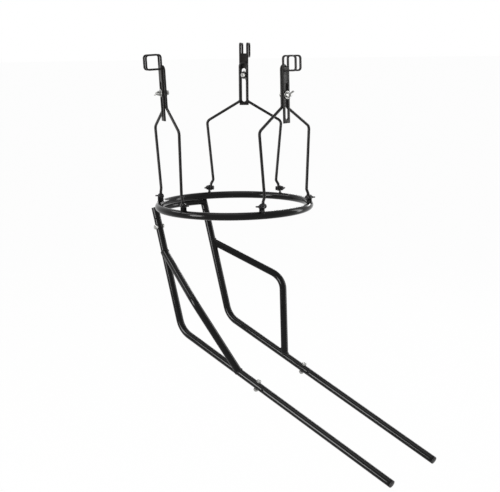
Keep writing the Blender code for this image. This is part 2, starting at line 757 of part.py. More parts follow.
clear_scene()
PART = new_collection("return_chute")
CUTTERS = new_collection("cutters")
BLACK_TUBE = make_material("black_tube", *TUBE_PAINT)
BLACK_WIRE = make_material("black_wire", *WIRE_PAINT)
BLACK_CLIP = make_material("black_clip", *CLIP_PAINT)
BLACK_ZINC = make_material("black_hardware", *BLACK_PLATING)
ZINC = make_material("bright_zinc", *ZINC_PLATING)
BLACK_PLASTIC = make_material("black_plastic", *PLUG_PLASTIC)

CHUTE = add_empty("ring_centre", Matrix.Translation((0, 0, -RING_DROP)))
add_ring(CHUTE)
add_arc(CHUTE)
add_rail_set(CHUTE, 1, "left")
add_rail_set(CHUTE, -1, "right")
for YOKE in YOKES:
    add_yoke(CHUTE, *YOKE)
bpy.context.view_layer.update()
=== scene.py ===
"""Finished looks of a return chute on hook clips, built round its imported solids.

Metres, +Z up, in the part's own frame: the origin is the centre of the circle of the round bar
that the clips hook over, +X is the way the chute runs down, and +Y is to the left of that way.
"""

import json
import math

import bmesh
import bpy
import numpy as np
from mathutils import Matrix

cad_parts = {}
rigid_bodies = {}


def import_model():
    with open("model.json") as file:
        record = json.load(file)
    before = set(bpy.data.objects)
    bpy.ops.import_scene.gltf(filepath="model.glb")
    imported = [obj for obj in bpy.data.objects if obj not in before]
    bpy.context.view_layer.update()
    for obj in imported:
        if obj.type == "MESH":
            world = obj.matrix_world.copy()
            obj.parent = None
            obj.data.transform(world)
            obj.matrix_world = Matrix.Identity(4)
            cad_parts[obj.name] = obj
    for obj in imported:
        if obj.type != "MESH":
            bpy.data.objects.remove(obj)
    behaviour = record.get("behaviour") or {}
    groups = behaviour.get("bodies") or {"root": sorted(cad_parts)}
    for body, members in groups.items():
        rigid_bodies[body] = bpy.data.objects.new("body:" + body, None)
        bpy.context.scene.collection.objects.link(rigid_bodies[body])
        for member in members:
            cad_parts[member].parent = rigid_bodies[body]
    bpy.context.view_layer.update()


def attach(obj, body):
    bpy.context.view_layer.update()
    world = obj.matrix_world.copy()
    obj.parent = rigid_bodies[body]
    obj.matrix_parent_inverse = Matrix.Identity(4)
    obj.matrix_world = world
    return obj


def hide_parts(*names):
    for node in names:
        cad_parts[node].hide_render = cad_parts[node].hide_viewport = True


for leftover in list(bpy.data.objects):
    bpy.data.objects.remove(leftover)
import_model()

bl_info = {
    "name": "Return Chute",
    "version": (1, 0, 0),
    "blender": (4, 5, 0),
    "location": "View3D > Sidebar > Chute",
    "description": "Builds the finished surfaces of a return chute on hook clips",
    "category": "Object",
}

# Ring, arc tube and rails, as the solids have them
RING_RADIUS = 0.143
RING_HEIGHT = -0.272
TUBE_RADIUS = 0.007
TUBE_WALL = 0.0012
SPIGOT_RADIUS = 0.0055
SPIGOT_LENGTH = 0.030
GAP = 0.0003
ARC_ANGLE_BELOW_RING = 53.0
ARC_SPACING = 2 * TUBE_RADIUS + GAP
ARC_RADIUS = RING_RADIUS + ARC_SPACING * math.cos(math.radians(ARC_ANGLE_BELOW_RING))
ARC_DROP = ARC_SPACING * math.sin(math.radians(ARC_ANGLE_BELOW_RING))
RAIL_HALF_SPACING = 0.0705
RAIL_BEHIND_ARC_END = 0.0062
RAIL_TOP_DROP = 0.0075
RAIL_TOP_X = -math.sqrt(ARC_RADIUS ** 2 - RAIL_HALF_SPACING ** 2) - RAIL_BEHIND_ARC_END
RAIL_BEND_AHEAD_OF_TOP = 0.0634
RAIL_BEND_X = RAIL_TOP_X + RAIL_BEND_AHEAD_OF_TOP
RAIL_BEND_DROP = 0.242
RAIL_BEND_RADIUS = 0.040
RAIL_RUN_BELOW_BEND = 0.215
CHUTE_SLOPE = 22.6
STUB_LENGTH = 0.024
UPPER_BOLT_FROM_SEAM = 0.014
LOWER_BOLT_FROM_SEAM = 0.015
EXTENSION_LENGTH = 0.300
PLUG_RIM = 0.003
PLUG_DEPTH = 0.012
BRACE_TOP_ALONG_RAIL = 0.088
BRACE_FOOT_ALONG_CHUTE = 0.1525
BRACE_CORNER_AHEAD_OF_BEND = 0.0895
BRACE_CORNER_X = RAIL_BEND_X + BRACE_CORNER_AHEAD_OF_BEND
BRACE_CORNER_SIDE = 0.133
BRACE_CORNER_DROP = 0.163
BRACE_BEND_RADIUS = 0.040
BRACE_END_INSET = 0.002

# Tube ends: depth of an open bore, spare depth behind a spigot, how far the plain rows keep from
# an end's rows, and the knee of a shoulder's rounding as shares of the lip
MOUTH_DEPTH = 0.020
SOCKET_SPARE = 0.004
END_MARGIN = 0.0006
SHOULDER_KNEE = (0.4, 0.3)

# End plug: rounded edge, dome of the face, chamfers of the stem and the rim, and the shares of a
# radius at which its two ends close
PLUG_EDGE = 0.0012
PLUG_DOME = 0.0004
PLUG_LEAD_IN = 0.001
PLUG_BEVEL = 0.0002
PLUG_TIP_SHARE = 0.3
PLUG_POLE_SHARE = 0.05

# Weld beads: ripple height, length of the run-out at an open end and flatness as shares of the
# bead's radius, and the square of the least share of it that is left at an open end
BEAD_WAVE = 0.10
BEAD_RUN_OUT = 1.6
BEAD_FLATNESS = 0.85
BEAD_LEAST = 0.02
FEWEST_RIPPLES = 3

# Stitches between the ring and the arc tube: angles of their middles from the rear, half their
# own angle, rise from the line between the tubes, and share of the bead's radius
STITCH_ANGLES = (-20.0, 0.0, 20.0)
STITCH_HALF_ANGLE = 4.5
STITCH_RISE = 0.0034
STITCH_SHARE = 1.25

# Ears and pivots
EAR_OFFSET = 0.0715
CHORD_DISTANCE = 0.12384163
PIVOT_RISE = 0.016
EAR_RADIUS = 0.0055
EAR_THICKNESS = 0.003
EAR_SADDLE = 0.004
EAR_EDGE = 0.0004

# Bead round an ear's foot: radius, share of the ripple's length, clearance along the pivot and
# across it, lift over the skin, power of its rounded corners, and how it faces away from the ear
EAR_BEAD_RADIUS = 0.0011
EAR_BEAD_RIPPLE_SHARE = 0.7
EAR_BEAD_CLEARANCE = (0.0004, 0.0002)
EAR_BEAD_LIFT = 0.0001
EAR_BEAD_CORNER_POWER = 0.35
EAR_BEAD_SIDEWAYS = 4
EAR_BEAD_UPWARDS = 0.004

# Yoke wire, from the pivots up to the hairpin
WIRE_RADIUS = 0.00265
FOOT_RADIUS = 0.0055
FOOT_THICKNESS = 0.0034
WIRE_START_RISE = 0.008
KINK = (0.0634, 0.016)
SHOULDER = (0.0743, 0.133)
NECK = (0.007, 0.1726)
HAIRPIN_RISE = 0.247
WIRE_BEND_RADII = (0.006, 0.006, 0.010, 0.006)

# Yoke foot: half width of the flat tongue above the eye, start and length of its change to the
# round wire, power that runs eye and tongue together, and the rounding of the foot's end
TONGUE_HALF_WIDTH = 0.0032
FOOT_FADE_START = -0.001
FOOT_FADE_LENGTH = 0.010
EYE_BLEND_POWER = 6
FOOT_SECTION_POWER = 4.5
WIRE_SECTION_POWER = 2.0
FOOT_END_LENGTH = 0.0004
FOOT_END_LEAST = 0.05
LEAST_HALF_WIDTH = 0.0002
FOOT_CUT_HALF = 0.006

# Hook clip
CLIP_WIDTH = 0.018
CLIP_THICKNESS = 0.003
CLIP_DEPTH = 0.0309
CLIP_HOOK_HEIGHT = 0.029
CLIP_BEND_RADIUS = 0.005
CLIP_HEIGHT = 0.122
CLIP_FACE = WIRE_RADIUS + GAP
CLIP_MIDDLE = CLIP_FACE + CLIP_THICKNESS / 2
CLIP_BACK = CLIP_FACE + CLIP_THICKNESS
FORK_GAP = 0.0102
FORK_DEPTH = 0.021
SLOT_WIDTH = 0.008
SLOT_BELOW_TOP = 0.050
SLOT_END_MARGIN = 0.007
CUT_OVERRUN = 0.003
STRAIGHT_TURN = 0.000001

# Fasteners: shank radius, half the width across flats, head, nut, tail
SMALL_SHANK = 0.0025
SMALL_FLATS = 0.004
SMALL_HEAD = 0.0035
SMALL_NUT = 0.004
SMALL_TAIL = 0.0015
CLIP_SHANK = 0.0025
CLIP_FLATS = 0.004
CLIP_HEAD = 0.0035
CLIP_TAIL = 0.003
WASHER_RADIUS = 0.0075
WASHER_THICKNESS = 0.0016
INNER_WASHER_RADIUS = 0.0065
INNER_WASHER_THICKNESS = 0.0012
HOLE_CLEARANCE = 0.0003
SMALL_THREAD = 0.006
PIVOT_THREAD = 0.008
CLIP_THREAD = 0.014

# Hexagons: least and greatest share of half the width across flats on a chamfer, and its rows
HEAD_CHAMFER = (0.93, 1.16, 7)
NUT_CHAMFER = (0.95, 1.16, 6)
CHAMFER_ANGLE = 30
HEX_CORNER_SHARE = 1.135

# Bolt head: distance from its outer face, and from its seat, with the share of half the width
# across flats there
HEAD_TOP = ((0.00025, 0.02), (0.00022, 0.55), (0.00005, 0.66), (0.0, 0.72))
HEAD_UNDERSIDE = ((0.0006, 1.16), (0.0004, 1.12), (0.0003, 0.96), (0.0, 0.95))
SHANK_FILLET = 0.0002

# Thread: pitch as a share of the shank's radius, power of its wave, spacing of its rows, where
# they stop before the tip, and the tip's chamfer along and across
PITCH_SHARE = 0.33
THREAD_POWER = 1.3
THREAD_SPACING = 0.0001
THREAD_STOP = 0.0006
TIP_CHAMFER = (0.0005, 0.0007)
TIP_SHARES = (0.0, 0.35, 0.7, 1.0)

# Hex nuts and washers: clearance and countersink of a nut's bore, a washer's rounded edge as a
# share of its thickness, and the chamfers of its bore
NUT_BORE_CLEARANCE = 0.00012
NUT_COUNTERSINK = 0.0004
WASHER_EDGE_SHARE = 0.4
WASHER_CHAMFER = 0.0002
WASHER_TOP_CHAMFER = 0.0003

# Wing nuts: hub radius, hub height, span, height, wing thickness, tip radius
EAR_NUT = (0.0048, 0.0045, 0.017, 0.008, 0.003, 0.003)
CLIP_NUT = (0.0048, 0.0055, 0.021, 0.010, 0.002, 0.003)
EAR_NUT_VOXEL = 0.00022
CLIP_NUT_VOXEL = 0.00024

# A wing nut's hub: chamfers of its foot and top, and its top's share of its radius
HUB_FOOT_EDGE = 0.0004
HUB_TOP_EDGE = 0.0006
HUB_TOP_SHARE = 0.83

# A wing nut's lobe: root as a share of the hub's radius, rise and half height there as shares of
# the hub's height, powers of the rise and the swell, angles and flatness of its round tip,
# thickness at the root, loss of it by the tip and where the loss ends, as shares of the wing's
# thickness and of the reach, power of its section, and the smoothing of the whole nut
LOBE_ROOT_SHARE = 0.80
LOBE_RISE_SHARE = 0.50
LOBE_HALF_SHARE = 0.42
LOBE_RISE_POWER = 0.85
LOBE_SWELL_POWER = 1.2
LOBE_TIP_ANGLES = (15, 85)
LOBE_TIP_FLATNESS = 0.95
LOBE_ROOT_THICKNESS = 1.15
LOBE_THINNING = 0.25
LOBE_THINNING_END = 1.2
LOBE_SECTION_POWER = 2.6
NUT_SMOOTH_FACTOR = 0.5
NUT_SMOOTH_ROUNDS = 6

# Yokes at rest: name, angle round the ring, lean outwards
YOKES = (
    ("front", 0.0, -0.8),
    ("rear_right", -120.0, 2.5),
    ("rear_left", 120.0, 1.5),
)

# Clips at rest: rise of the top above the pivots, drop to the bolt, turn of the wing nut
CLIPS = {
    "front": (0.2655, 0.071, 42.0),
    "rear_right": (0.2705, 0.071, 20.0),
    "rear_left": (0.2863, 0.0633, 80.0),
}
SIDES = (("left", 1.0), ("right", -1.0))

# Grids: rows and columns, the spacing of rows along a path, the fewest points on an arc, and the
# shares of a spacing under which two points are one and over which a run is divided once more
RING_ROWS = 240
RING_COLUMNS = 44
ARC_ROWS = 61
ARC_END_STEP = 4
TUBE_COLUMNS = 40
SADDLE_COLUMNS = 96
BEAD_COLUMNS = 14
STITCH_ROWS = 60
EAR_BEAD_ROWS = 73
TURNED_COLUMNS = 48
WASHER_COLUMNS = 64
LOBE_ROWS = 24
LOBE_TIP_ROWS = 8
WIRE_COLUMNS = 28
HAIRPIN_ROWS = 33
EAR_TOP_ROWS = 25
SLOT_END_ROWS = 15
HOLE_COLUMNS = 32
EDGE_ROWS = 6
WASHER_EDGE_ROWS = 5
STUB_SPACING = 0.004
BEND_SPACING = 0.0035
EXTENSION_SPACING = 0.006
WIRE_SPACING = 0.0009
FEWEST_ARC_POINTS = 4
SAME_POINT_SHARE = 0.05
SPARE_RUN_SHARE = 0.2

# Rounded edges, and the angles in degrees past which an edge is rounded or shaded sharp
EASE_SEGMENTS = 3
EASE_ANGLE = 40.0
MERGE_DISTANCE = 0.000005
SHARP_ANGLE = 32.0
WIRE_SHARP_ANGLE = 50.0

# An outline's own X and Y, and its depth, as axes of a yoke or clip: from the side, and from
# the front
SIDE_OUTLINE = ((0, 1, 0), (0, 0, 1), (1, 0, 0))
FACE_OUTLINE = ((1, 0, 0), (0, 0, 1), (0, -1, 0))

# Noise of the finishes: features a metre, detail and roughness
PAINT_CLOUD = (28.0, 4.0)
PAINT_UNEVEN = (75.0, 3.0)
PEEL_DETAIL = (1.5, 0.4)
SCUFF = (260.0, 6.0, 0.65)
SCUFF_EDGE = 0.05
SCUFF_COLOUR = (0.16, 0.15, 0.145)
PLATING_CLOUD = (420.0, 5.0, 0.6)
PLATING_UNEVEN = (900.0, 3.0)
SCRATCHES = (1600.0, 2.0, 0.5)
SCRATCH_STRETCH = (1.0, 1.0, 0.15)
SCRATCH_STRENGTH = 0.25
SCRATCH_HEIGHT = 0.00004
PLATING_SPECULAR = 0.5

# Floor: radii of its rings, look, and the share of plain white where it is seen
FLOOR_RINGS = (0.01, 1.0, 3.0, 9.0, 40.0)
FLOOR_COLUMNS = 96
FLOOR_ROUGHNESS = 0.9
FLOOR_SPECULAR = 0.1
FLOOR_WHITE_SHARE = 0.975

# World: strength as a light, and strength where it is seen
WORLD_LIGHT = 0.20
WORLD_SHOWN = 1.0

# Lamps: name, place, width and height, the setting of their power, and their share of it
LAMPS = (
    ("key_lamp", (-0.66, -2.40, 0.00), (0.80, 1.3), "key_power", 1.0),
    ("front_strip", (-1.55, -1.25, 1.35), (2.2, 0.40), "strip_power", 1.0),
    ("far_strip", (-0.75, 2.25, 0.45), (1.6, 0.30), "strip_power", 0.5),
    ("side_lamp", (1.40, 2.00, 0.10), (0.45, 2.2), "side_power", 1.0),
    ("top_lamp", (0.20, -0.60, 2.2), (1.6, 1.6), "top_power", 1.0),
)
LAMP_AIM = (0.05, 0.0, -0.33)

# Camera of the reference view
CAMERA_PLACE = (1.40690, -1.68551, 0.05430)
CAMERA_BACK = (0.62014852, -0.76310127, 0.18191277)
CAMERA_RIGHT = (0.77750517, 0.62874093, -0.01305943)
CAMERA_UP = (-0.10441034, 0.14953690, 0.98322795)
CAMERA_LENS = 84.1
CAMERA_SENSOR = 36.0
CAMERA_REACH = 200.0

MATERIALS = {}


# ---------------------------------------------------------------- surfaces on grids


def unit(vectors):
    """Vectors divided by their own lengths."""
    vectors = np.asarray(vectors, float)
    return vectors / np.linalg.norm(vectors, axis=-1, keepdims=True)


def circle(angles):
    """Points of a circle of radius one: the cosine and the sine of each angle."""
    return np.stack([np.cos(angles), np.sin(angles)], 1)


def stations(path):
    """Distance along a path to each of its points."""
    steps = np.linalg.norm(np.diff(path, axis=0), axis=1)
    return np.concatenate([[0], np.cumsum(steps)])


def closed_grid(points, wrap_rows=False):
    """Points and faces of a grid whose columns wrap round.

    A face joins two neighbours of one row to the same two of the next row. Rows either wrap
    round as well, or the first and last rows are closed by flat caps.
    """
    rows, columns = points.shape[:2]
    row = np.arange(rows if wrap_rows else rows - 1)[:, None]
    column = np.arange(columns)[None, :]
    after, beside = (row + 1) % rows, (column + 1) % columns
    corners = [row * columns + column, row * columns + beside,
               after * columns + beside, after * columns + column]
    faces = np.stack(corners, -1).reshape(-1, 4).tolist()
    if not wrap_rows:
        faces.append(list(range(columns))[::-1])
        faces.append(list(range((rows - 1) * columns, rows * columns)))
    return points.reshape(-1, 3), faces


def carried(centres, first, second, half_first, half_second, columns, power=2.0, wrap=False):
    """Surface of a section carried along a path.

    The point at angle t of a row is its centre, plus half_first times |cos t| to the power
    2/power along the first axis, plus half_second times |sin t| to the same power along the
    second. Power 2 gives an ellipse, and a higher power a rectangle with rounded corners.
    """
    angle = np.linspace(0, 2 * np.pi, columns, endpoint=False)[None, :]
    share = 2.0 / np.broadcast_to(np.asarray(power, float), (len(centres),))[:, None]
    cosine, sine = np.cos(angle), np.sin(angle)
    along = np.sign(cosine) * np.abs(cosine) ** share
    across = np.sign(sine) * np.abs(sine) ** share
    half_first = np.broadcast_to(half_first, (len(centres),))[:, None]
    half_second = np.broadcast_to(half_second, (len(centres),))[:, None]
    first = np.broadcast_to(first, (len(centres), 3))[:, None]
    second = np.broadcast_to(second, (len(centres), 3))[:, None]
    points = (np.asarray(centres)[:, None] + (half_first * along)[..., None] * first
              + (half_second * across)[..., None] * second)
    return closed_grid(points, wrap)


def turned(heights, radii, flats=None, thread=None, columns=TURNED_COLUMNS, wrap=False):
    """Surface turned about Z: the radius at angle t and height z is the profile's.

    With flats it is the least of that and the hexagon's radius: flats over the cosine of the
    angle from the nearest flat's middle, or the cut corner's. A thread of (depth, pitch, from,
    to) takes away a wave whose phase is z over the pitch less t over a full turn.
    """
    angle = np.linspace(0, 2 * np.pi, columns, endpoint=False)[None, :]
    heights = np.asarray(heights, float)[:, None]
    radius = np.repeat(np.asarray(radii, float)[:, None], columns, 1)
    if flats:
        from_flat = (angle + np.pi / 6) % (np.pi / 3) - np.pi / 6
        hexagon = np.minimum(flats / np.cos(from_flat), flats * HEX_CORNER_SHARE)
        radius = np.minimum(radius, hexagon)
    if thread:
        depth, pitch, start, end = thread
        phase = (heights / pitch - angle / (2 * np.pi)) % 1.0
        wave = np.abs(2 * phase - 1) ** THREAD_POWER
        shown = np.clip((heights - start) / pitch, 0, 1) * (heights <= end)
        radius = radius - depth * shown * wave
    points = np.stack([radius * np.cos(angle), radius * np.sin(angle),
                       np.broadcast_to(heights, radius.shape)], -1)
    return closed_grid(points, wrap)


def rounded(corners, radii, spacing):
    """Points on straight runs joined by arcs.

    An arc starts radius times the tangent of half the turn before its corner, and turns about a
    centre that lies its radius away from both runs. The runs are then filled at the spacing.
    """
    corners = [np.asarray(corner, float) for corner in corners]
    runs = [corners[0][None]]
    for before, corner, after, radius in zip(corners, corners[1:], corners[2:], radii):
        into, out = unit(corner - before), unit(after - corner)
        turn = math.acos(max(-1.0, min(1.0, float(into @ out))))
        side = unit(out - into * (out @ into))
        start = corner - into * radius * math.tan(turn / 2)
        count = max(FEWEST_ARC_POINTS, math.ceil(radius * turn / spacing) + 1)
        angle = np.linspace(0, turn, count)[:, None]
        runs.append(start + side * radius * (1 - np.cos(angle)) + into * radius * np.sin(angle))
    runs.append(corners[-1][None])
    return filled(np.concatenate(runs), spacing)


def filled(path, spacing):
    """A path's own points, with more between them where they are far apart."""
    steps = np.linalg.norm(np.diff(path, axis=0), axis=1)
    keep = np.concatenate([[True], steps > spacing * SAME_POINT_SHARE])
    path = path[keep]
    station = stations(path)
    counts = np.ceil(np.diff(station) / spacing - SPARE_RUN_SHARE).astype(int)
    counts = np.maximum(1, counts)
    new = [np.linspace(a, b, n, endpoint=False) for a, b, n in zip(station, station[1:], counts)]
    new = np.append(np.concatenate(new), station[-1])
    return np.stack([np.interp(new, station, path[:, axis]) for axis in range(3)], 1)


def tangents(path, closed=False):
    """Directions along a path, each the mean of those of the runs beside it."""
    if closed:
        return unit(np.roll(path, -1, 0) - np.roll(path, 1, 0))
    runs = unit(np.diff(path, axis=0))
    return unit(np.concatenate([runs[:1], runs[:-1] + runs[1:], runs[-1:]]))


def open_end(lip, depth):
    """Rows of an open tube end, as distances in from the end and radii.

    They run up the bore, over two quarter circles of the lip's radius, and onto the outside.
    """
    turn = np.radians([0, 30, 60, 90])
    inset = lip * (1 - np.sin(turn))
    rise = lip * (1 - np.cos(turn))
    inner = TUBE_RADIUS - TUBE_WALL
    distances = np.concatenate([[depth], inset, inset[::-1]])
    radii = np.concatenate([[inner], inner + rise, (TUBE_RADIUS - rise)[::-1]])
    return distances, radii


def tube(path, normal, start, end):
    """Tube along a flat path: circles square to the path, with a finish for each end.

    An end is a pair of arrays, distances in from the end and radii there, from its innermost
    row outwards. The circle's axes are the plane's normal and its cross product with the path.
    """
    way = tangents(path)
    normal = unit(normal)
    station = stations(path)
    first = start[0][-1] + END_MARGIN
    last = station[-1] - end[0][-1] - END_MARGIN
    middle = (station > first) & (station < last)
    centres = np.concatenate([
        path[0] + way[0] * start[0][:, None],
        path[middle],
        path[-1] - way[-1] * end[0][::-1, None],
    ])
    directions = np.concatenate([
        np.repeat(way[:1], len(start[0]), 0),
        way[middle],
        np.repeat(way[-1:], len(end[0]), 0),
    ])
    plain = np.full(middle.sum(), TUBE_RADIUS)
    radii = np.concatenate([start[1], plain, end[1][::-1]])
    side = unit(np.cross(normal, directions))
    return carried(centres, side, normal, radii, radii, columns=TUBE_COLUMNS)


def blind_end():
    """The one row of an end that is hidden inside another tube."""
    return np.array([0.0]), np.array([TUBE_RADIUS])


def bead(path, outward, radius, ripple, closed):
    """Weld bead along a path, with ripples like overlapping drops.

    The radius is scaled by 1 plus a tenth of a cosine of the distance over the ripple's length,
    and falls to nearly nothing by a circle's profile over the last stretch of an open bead.
    """
    station = stations(path)
    length = station[-1]
    waves = max(FEWEST_RIPPLES, round(length / ripple))
    size = radius * (1 + BEAD_WAVE * np.cos(2 * np.pi * waves * station / length))
    if closed:
        path, outward, size = path[:-1], outward[:-1], size[:-1]
    else:
        near = np.minimum(station, length - station) / (radius * BEAD_RUN_OUT)
        size = size * np.sqrt(np.clip(1 - (1 - np.clip(near, 0, 1)) ** 2, BEAD_LEAST, 1))
    way = tangents(path, closed)
    first = unit(outward - way * np.sum(outward * way, 1, keepdims=True))
    second = np.cross(way, first)
    return carried(path, first, second, size * BEAD_FLATNESS, size, columns=BEAD_COLUMNS,
                   wrap=closed)


def placed(surface, origin, axes):
    """A surface moved from its own frame: axes holds its X, Y and Z as rows."""
    points, faces = surface
    return np.asarray(points) @ np.asarray(axes, float) + np.asarray(origin, float), faces


def frame_on(z, x):
    """Three axes as rows: Z along a direction, and X as near as it can be to another."""
    z = unit(z)
    x = unit(np.asarray(x, float) - z * (np.asarray(x, float) @ z))
    return np.array([x, np.cross(z, x), z])


# ---------------------------------------------------------------- meshes and pieces


def mesh_of(surfaces):
    """One mesh from closed surfaces, each with its faces pointing outwards."""
    work = bmesh.new()
    for points, faces in surfaces:
        data = bpy.data.meshes.new("part")
        data.from_pydata(np.asarray(points).tolist(), [], faces)
        part = bmesh.new()
        part.from_mesh(data)
        bmesh.ops.recalc_face_normals(part, faces=part.faces)
        part.to_mesh(data)
        part.free()
        work.from_mesh(data)
        bpy.data.meshes.remove(data)
    mesh = bpy.data.meshes.new("surface")
    work.to_mesh(mesh)
    work.free()
    return mesh


def modified(mesh, changes):
    """The mesh after a list of modifiers, each a name and its settings."""
    helper = bpy.data.objects.new("helper", mesh)
    bpy.context.scene.collection.objects.link(helper)
    for kind, settings in changes:
        modifier = helper.modifiers.new(kind.lower(), kind)
        for key, value in settings.items():
            setattr(modifier, key, value)
    bpy.context.view_layer.update()
    graph = bpy.context.evaluated_depsgraph_get()
    result = bpy.data.meshes.new_from_object(helper.evaluated_get(graph))
    bpy.data.objects.remove(helper)
    bpy.data.meshes.remove(mesh)
    return result


def cut_by(mesh, cutters):
    """The mesh with closed cutter surfaces taken away."""
    helpers = []
    changes = []
    for surface in cutters:
        helper = bpy.data.objects.new("cutter", mesh_of([surface]))
        bpy.context.scene.collection.objects.link(helper)
        helpers.append(helper)
        changes.append(("BOOLEAN", {"operation": "DIFFERENCE", "solver": "EXACT",
                                    "object": helper}))
    result = modified(mesh, changes)
    for helper in helpers:
        data = helper.data
        bpy.data.objects.remove(helper)
        bpy.data.meshes.remove(data)
    return result


def eased(mesh, width):
    """The mesh with its sharp edges rounded over to a width."""
    work = bmesh.new()
    work.from_mesh(mesh)
    bmesh.ops.remove_doubles(work, verts=work.verts, dist=MERGE_DISTANCE)
    least = math.radians(EASE_ANGLE)
    sharp = [edge for edge in work.edges
             if len(edge.link_faces) == 2 and edge.calc_face_angle() > least]
    bmesh.ops.bevel(work, geom=sharp, offset=width, segments=EASE_SEGMENTS, profile=0.5,
                    affect="EDGES", clamp_overlap=True)
    work.to_mesh(mesh)
    work.free()
    return mesh


def add_piece(name, mesh, body, material, nodes=(), sharp=SHARP_ANGLE):
    """Put a mesh in the scene as a finished piece that rides on a body."""
    mesh.name = name
    mesh.materials.clear()
    mesh.materials.append(MATERIALS[material])
    mesh.shade_smooth()
    mesh.set_sharp_from_angle(angle=math.radians(sharp))
    piece = bpy.data.objects.new(name, mesh)
    bpy.context.scene.collection.objects.link(piece)
    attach(piece, body)
    if nodes:
        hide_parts(*nodes)


def add_painted(name, mesh, node):
    """A painted piece of the welded frame, in place of a node."""
    add_piece(name, mesh, "ring_frame", "gloss_black_paint", [node])


def add_weld(name, surfaces):
    """Weld beads on the welded frame."""
    add_piece(name, mesh_of(surfaces), "ring_frame", "painted_weld")


# ---------------------------------------------------------------- places on the part


def yoke_frame(angle, lean):
    """Origin and axes of a yoke: X along its pivot, Y outwards, Z up its wires."""
    angle, lean = math.radians(angle), math.radians(lean)
    out = np.array([math.cos(angle), math.sin(angle), 0.0])
    along = np.array([math.sin(angle), -math.cos(angle), 0.0])
    up = np.array([0.0, 0.0, 1.0])
    origin = out * CHORD_DISTANCE + up * (RING_HEIGHT + PIVOT_RISE)
    axes = np.array([along, out * math.cos(lean) - up * math.sin(lean),
                     out * math.sin(lean) + up * math.cos(lean)])
    return origin, axes


def rail_places(side):
    """Named points and directions of one rail, in the part's frame."""
    y = side * RAIL_HALF_SPACING
    top = np.array([RAIL_TOP_X, y, RING_HEIGHT - RAIL_TOP_DROP])
    bend = np.array([RAIL_BEND_X, y, RING_HEIGHT - RAIL_BEND_DROP])
    down = unit(bend - top)
    slope = math.radians(CHUTE_SLOPE)
    forward = np.array([math.cos(slope), 0.0, -math.sin(slope)])
    seam = top + down * STUB_LENGTH
    lower = bend + forward * RAIL_RUN_BELOW_BEND
    return {
        "top": top, "bend": bend, "down": down, "forward": forward, "seam": seam,
        "lower_seam": lower,
        "square": np.array([-forward[2], 0.0, forward[0]]),
        "upper_bolt": seam + down * UPPER_BOLT_FROM_SEAM,
        "lower_bolt": lower - forward * LOWER_BOLT_FROM_SEAM,
        "brace_top": top + down * BRACE_TOP_ALONG_RAIL,
        "brace_foot": bend + forward * BRACE_FOOT_ALONG_CHUTE,
        "brace_corner": np.array([BRACE_CORNER_X, side * BRACE_CORNER_SIDE,
                                  RING_HEIGHT - BRACE_CORNER_DROP]),
    }


def saddle(point, way, target, target_way):
    """Closed path where a tube that runs into another meets its skin, and the outward sides.

    From each point of the tube's circle a line runs along the tube. The distance to the other
    tube's axis is its radius where a quadratic in the length along that line is zero, and the
    line keeps to its closest point where it misses.
    """
    way, target_way = unit(way), unit(target_way)
    angle = np.linspace(0, 2 * np.pi, SADDLE_COLUMNS + 1)[:, None]
    axes = frame_on(way, target_way)
    radial = np.cos(angle) * axes[0] + np.sin(angle) * axes[1]
    start = point + radial * TUBE_RADIUS
    offset = start - target
    offset = offset - np.outer(offset @ target_way, target_way)
    run = way - target_way * (way @ target_way)
    a = run @ run
    b = 2 * offset @ run
    c = np.sum(offset * offset, 1) - TUBE_RADIUS ** 2
    length = (-b + np.sqrt(np.maximum(b * b - 4 * a * c, 0))) / (2 * a)
    path = start + length[:, None] * way
    away = path - target
    away = unit(away - np.outer(away @ target_way, target_way))
    return path, unit(radial + away)


# ---------------------------------------------------------------- finishes


def node_in(tree, kind, inputs=(), **settings):
    """A new shader node with its settings and the values of its inputs."""
    node = tree.nodes.new(kind)
    for key, value in settings.items():
        setattr(node, key, value)
    for key, value in dict(inputs).items():
        node.inputs[key].default_value = value
    return node


def noise_from(tree, place, scale, detail, roughness=0.5, stretch=None):
    """Noise on the piece's own coordinates, scale in features a metre."""
    source = place
    if stretch:
        mapping = node_in(tree, "ShaderNodeMapping", {"Scale": stretch})
        tree.links.new(place, mapping.inputs["Vector"])
        source = mapping.outputs["Vector"]
    noise = node_in(tree, "ShaderNodeTexNoise",
                    {"Scale": scale, "Detail": detail, "Roughness": roughness})
    tree.links.new(source, noise.inputs["Vector"])
    return noise.outputs["Fac"]


def ranged(tree, value, low, high, start=0.3, end=0.7):
    """A value spread from low to high between start and end, a noise's usual limits."""
    spread = node_in(tree, "ShaderNodeMapRange", {"From Min": start, "From Max": end,
                                                  "To Min": low, "To Max": high})
    tree.links.new(value, spread.inputs["Value"])
    return spread.outputs["Result"]


def blended(tree, factor, low, high):
    """A colour between two, by a factor."""
    mix = node_in(tree, "ShaderNodeMix", data_type="RGBA")
    mix.inputs["A"].default_value = (*low, 1.0)
    mix.inputs["B"].default_value = (*high, 1.0)
    tree.links.new(factor, mix.inputs["Factor"])
    return mix.outputs["Result"]


def new_finish(name, metallic, specular):
    """A material with its shader, its object coordinates and its node tree."""
    material = bpy.data.materials.new(name)
    material.use_nodes = True
    tree = material.node_tree
    shader = tree.nodes["Principled BSDF"]
    shader.inputs["Metallic"].default_value = metallic
    shader.inputs["Specular IOR Level"].default_value = specular
    place = node_in(tree, "ShaderNodeTexCoord").outputs["Object"]
    MATERIALS[name] = material
    return tree, shader, place


def set_bump(tree, shader, heights, strength, distance):
    """Bump on the shader from a height."""
    bump = node_in(tree, "ShaderNodeBump", {"Strength": strength, "Distance": distance})
    tree.links.new(heights, bump.inputs["Height"])
    tree.links.new(bump.outputs["Normal"], shader.inputs["Normal"])


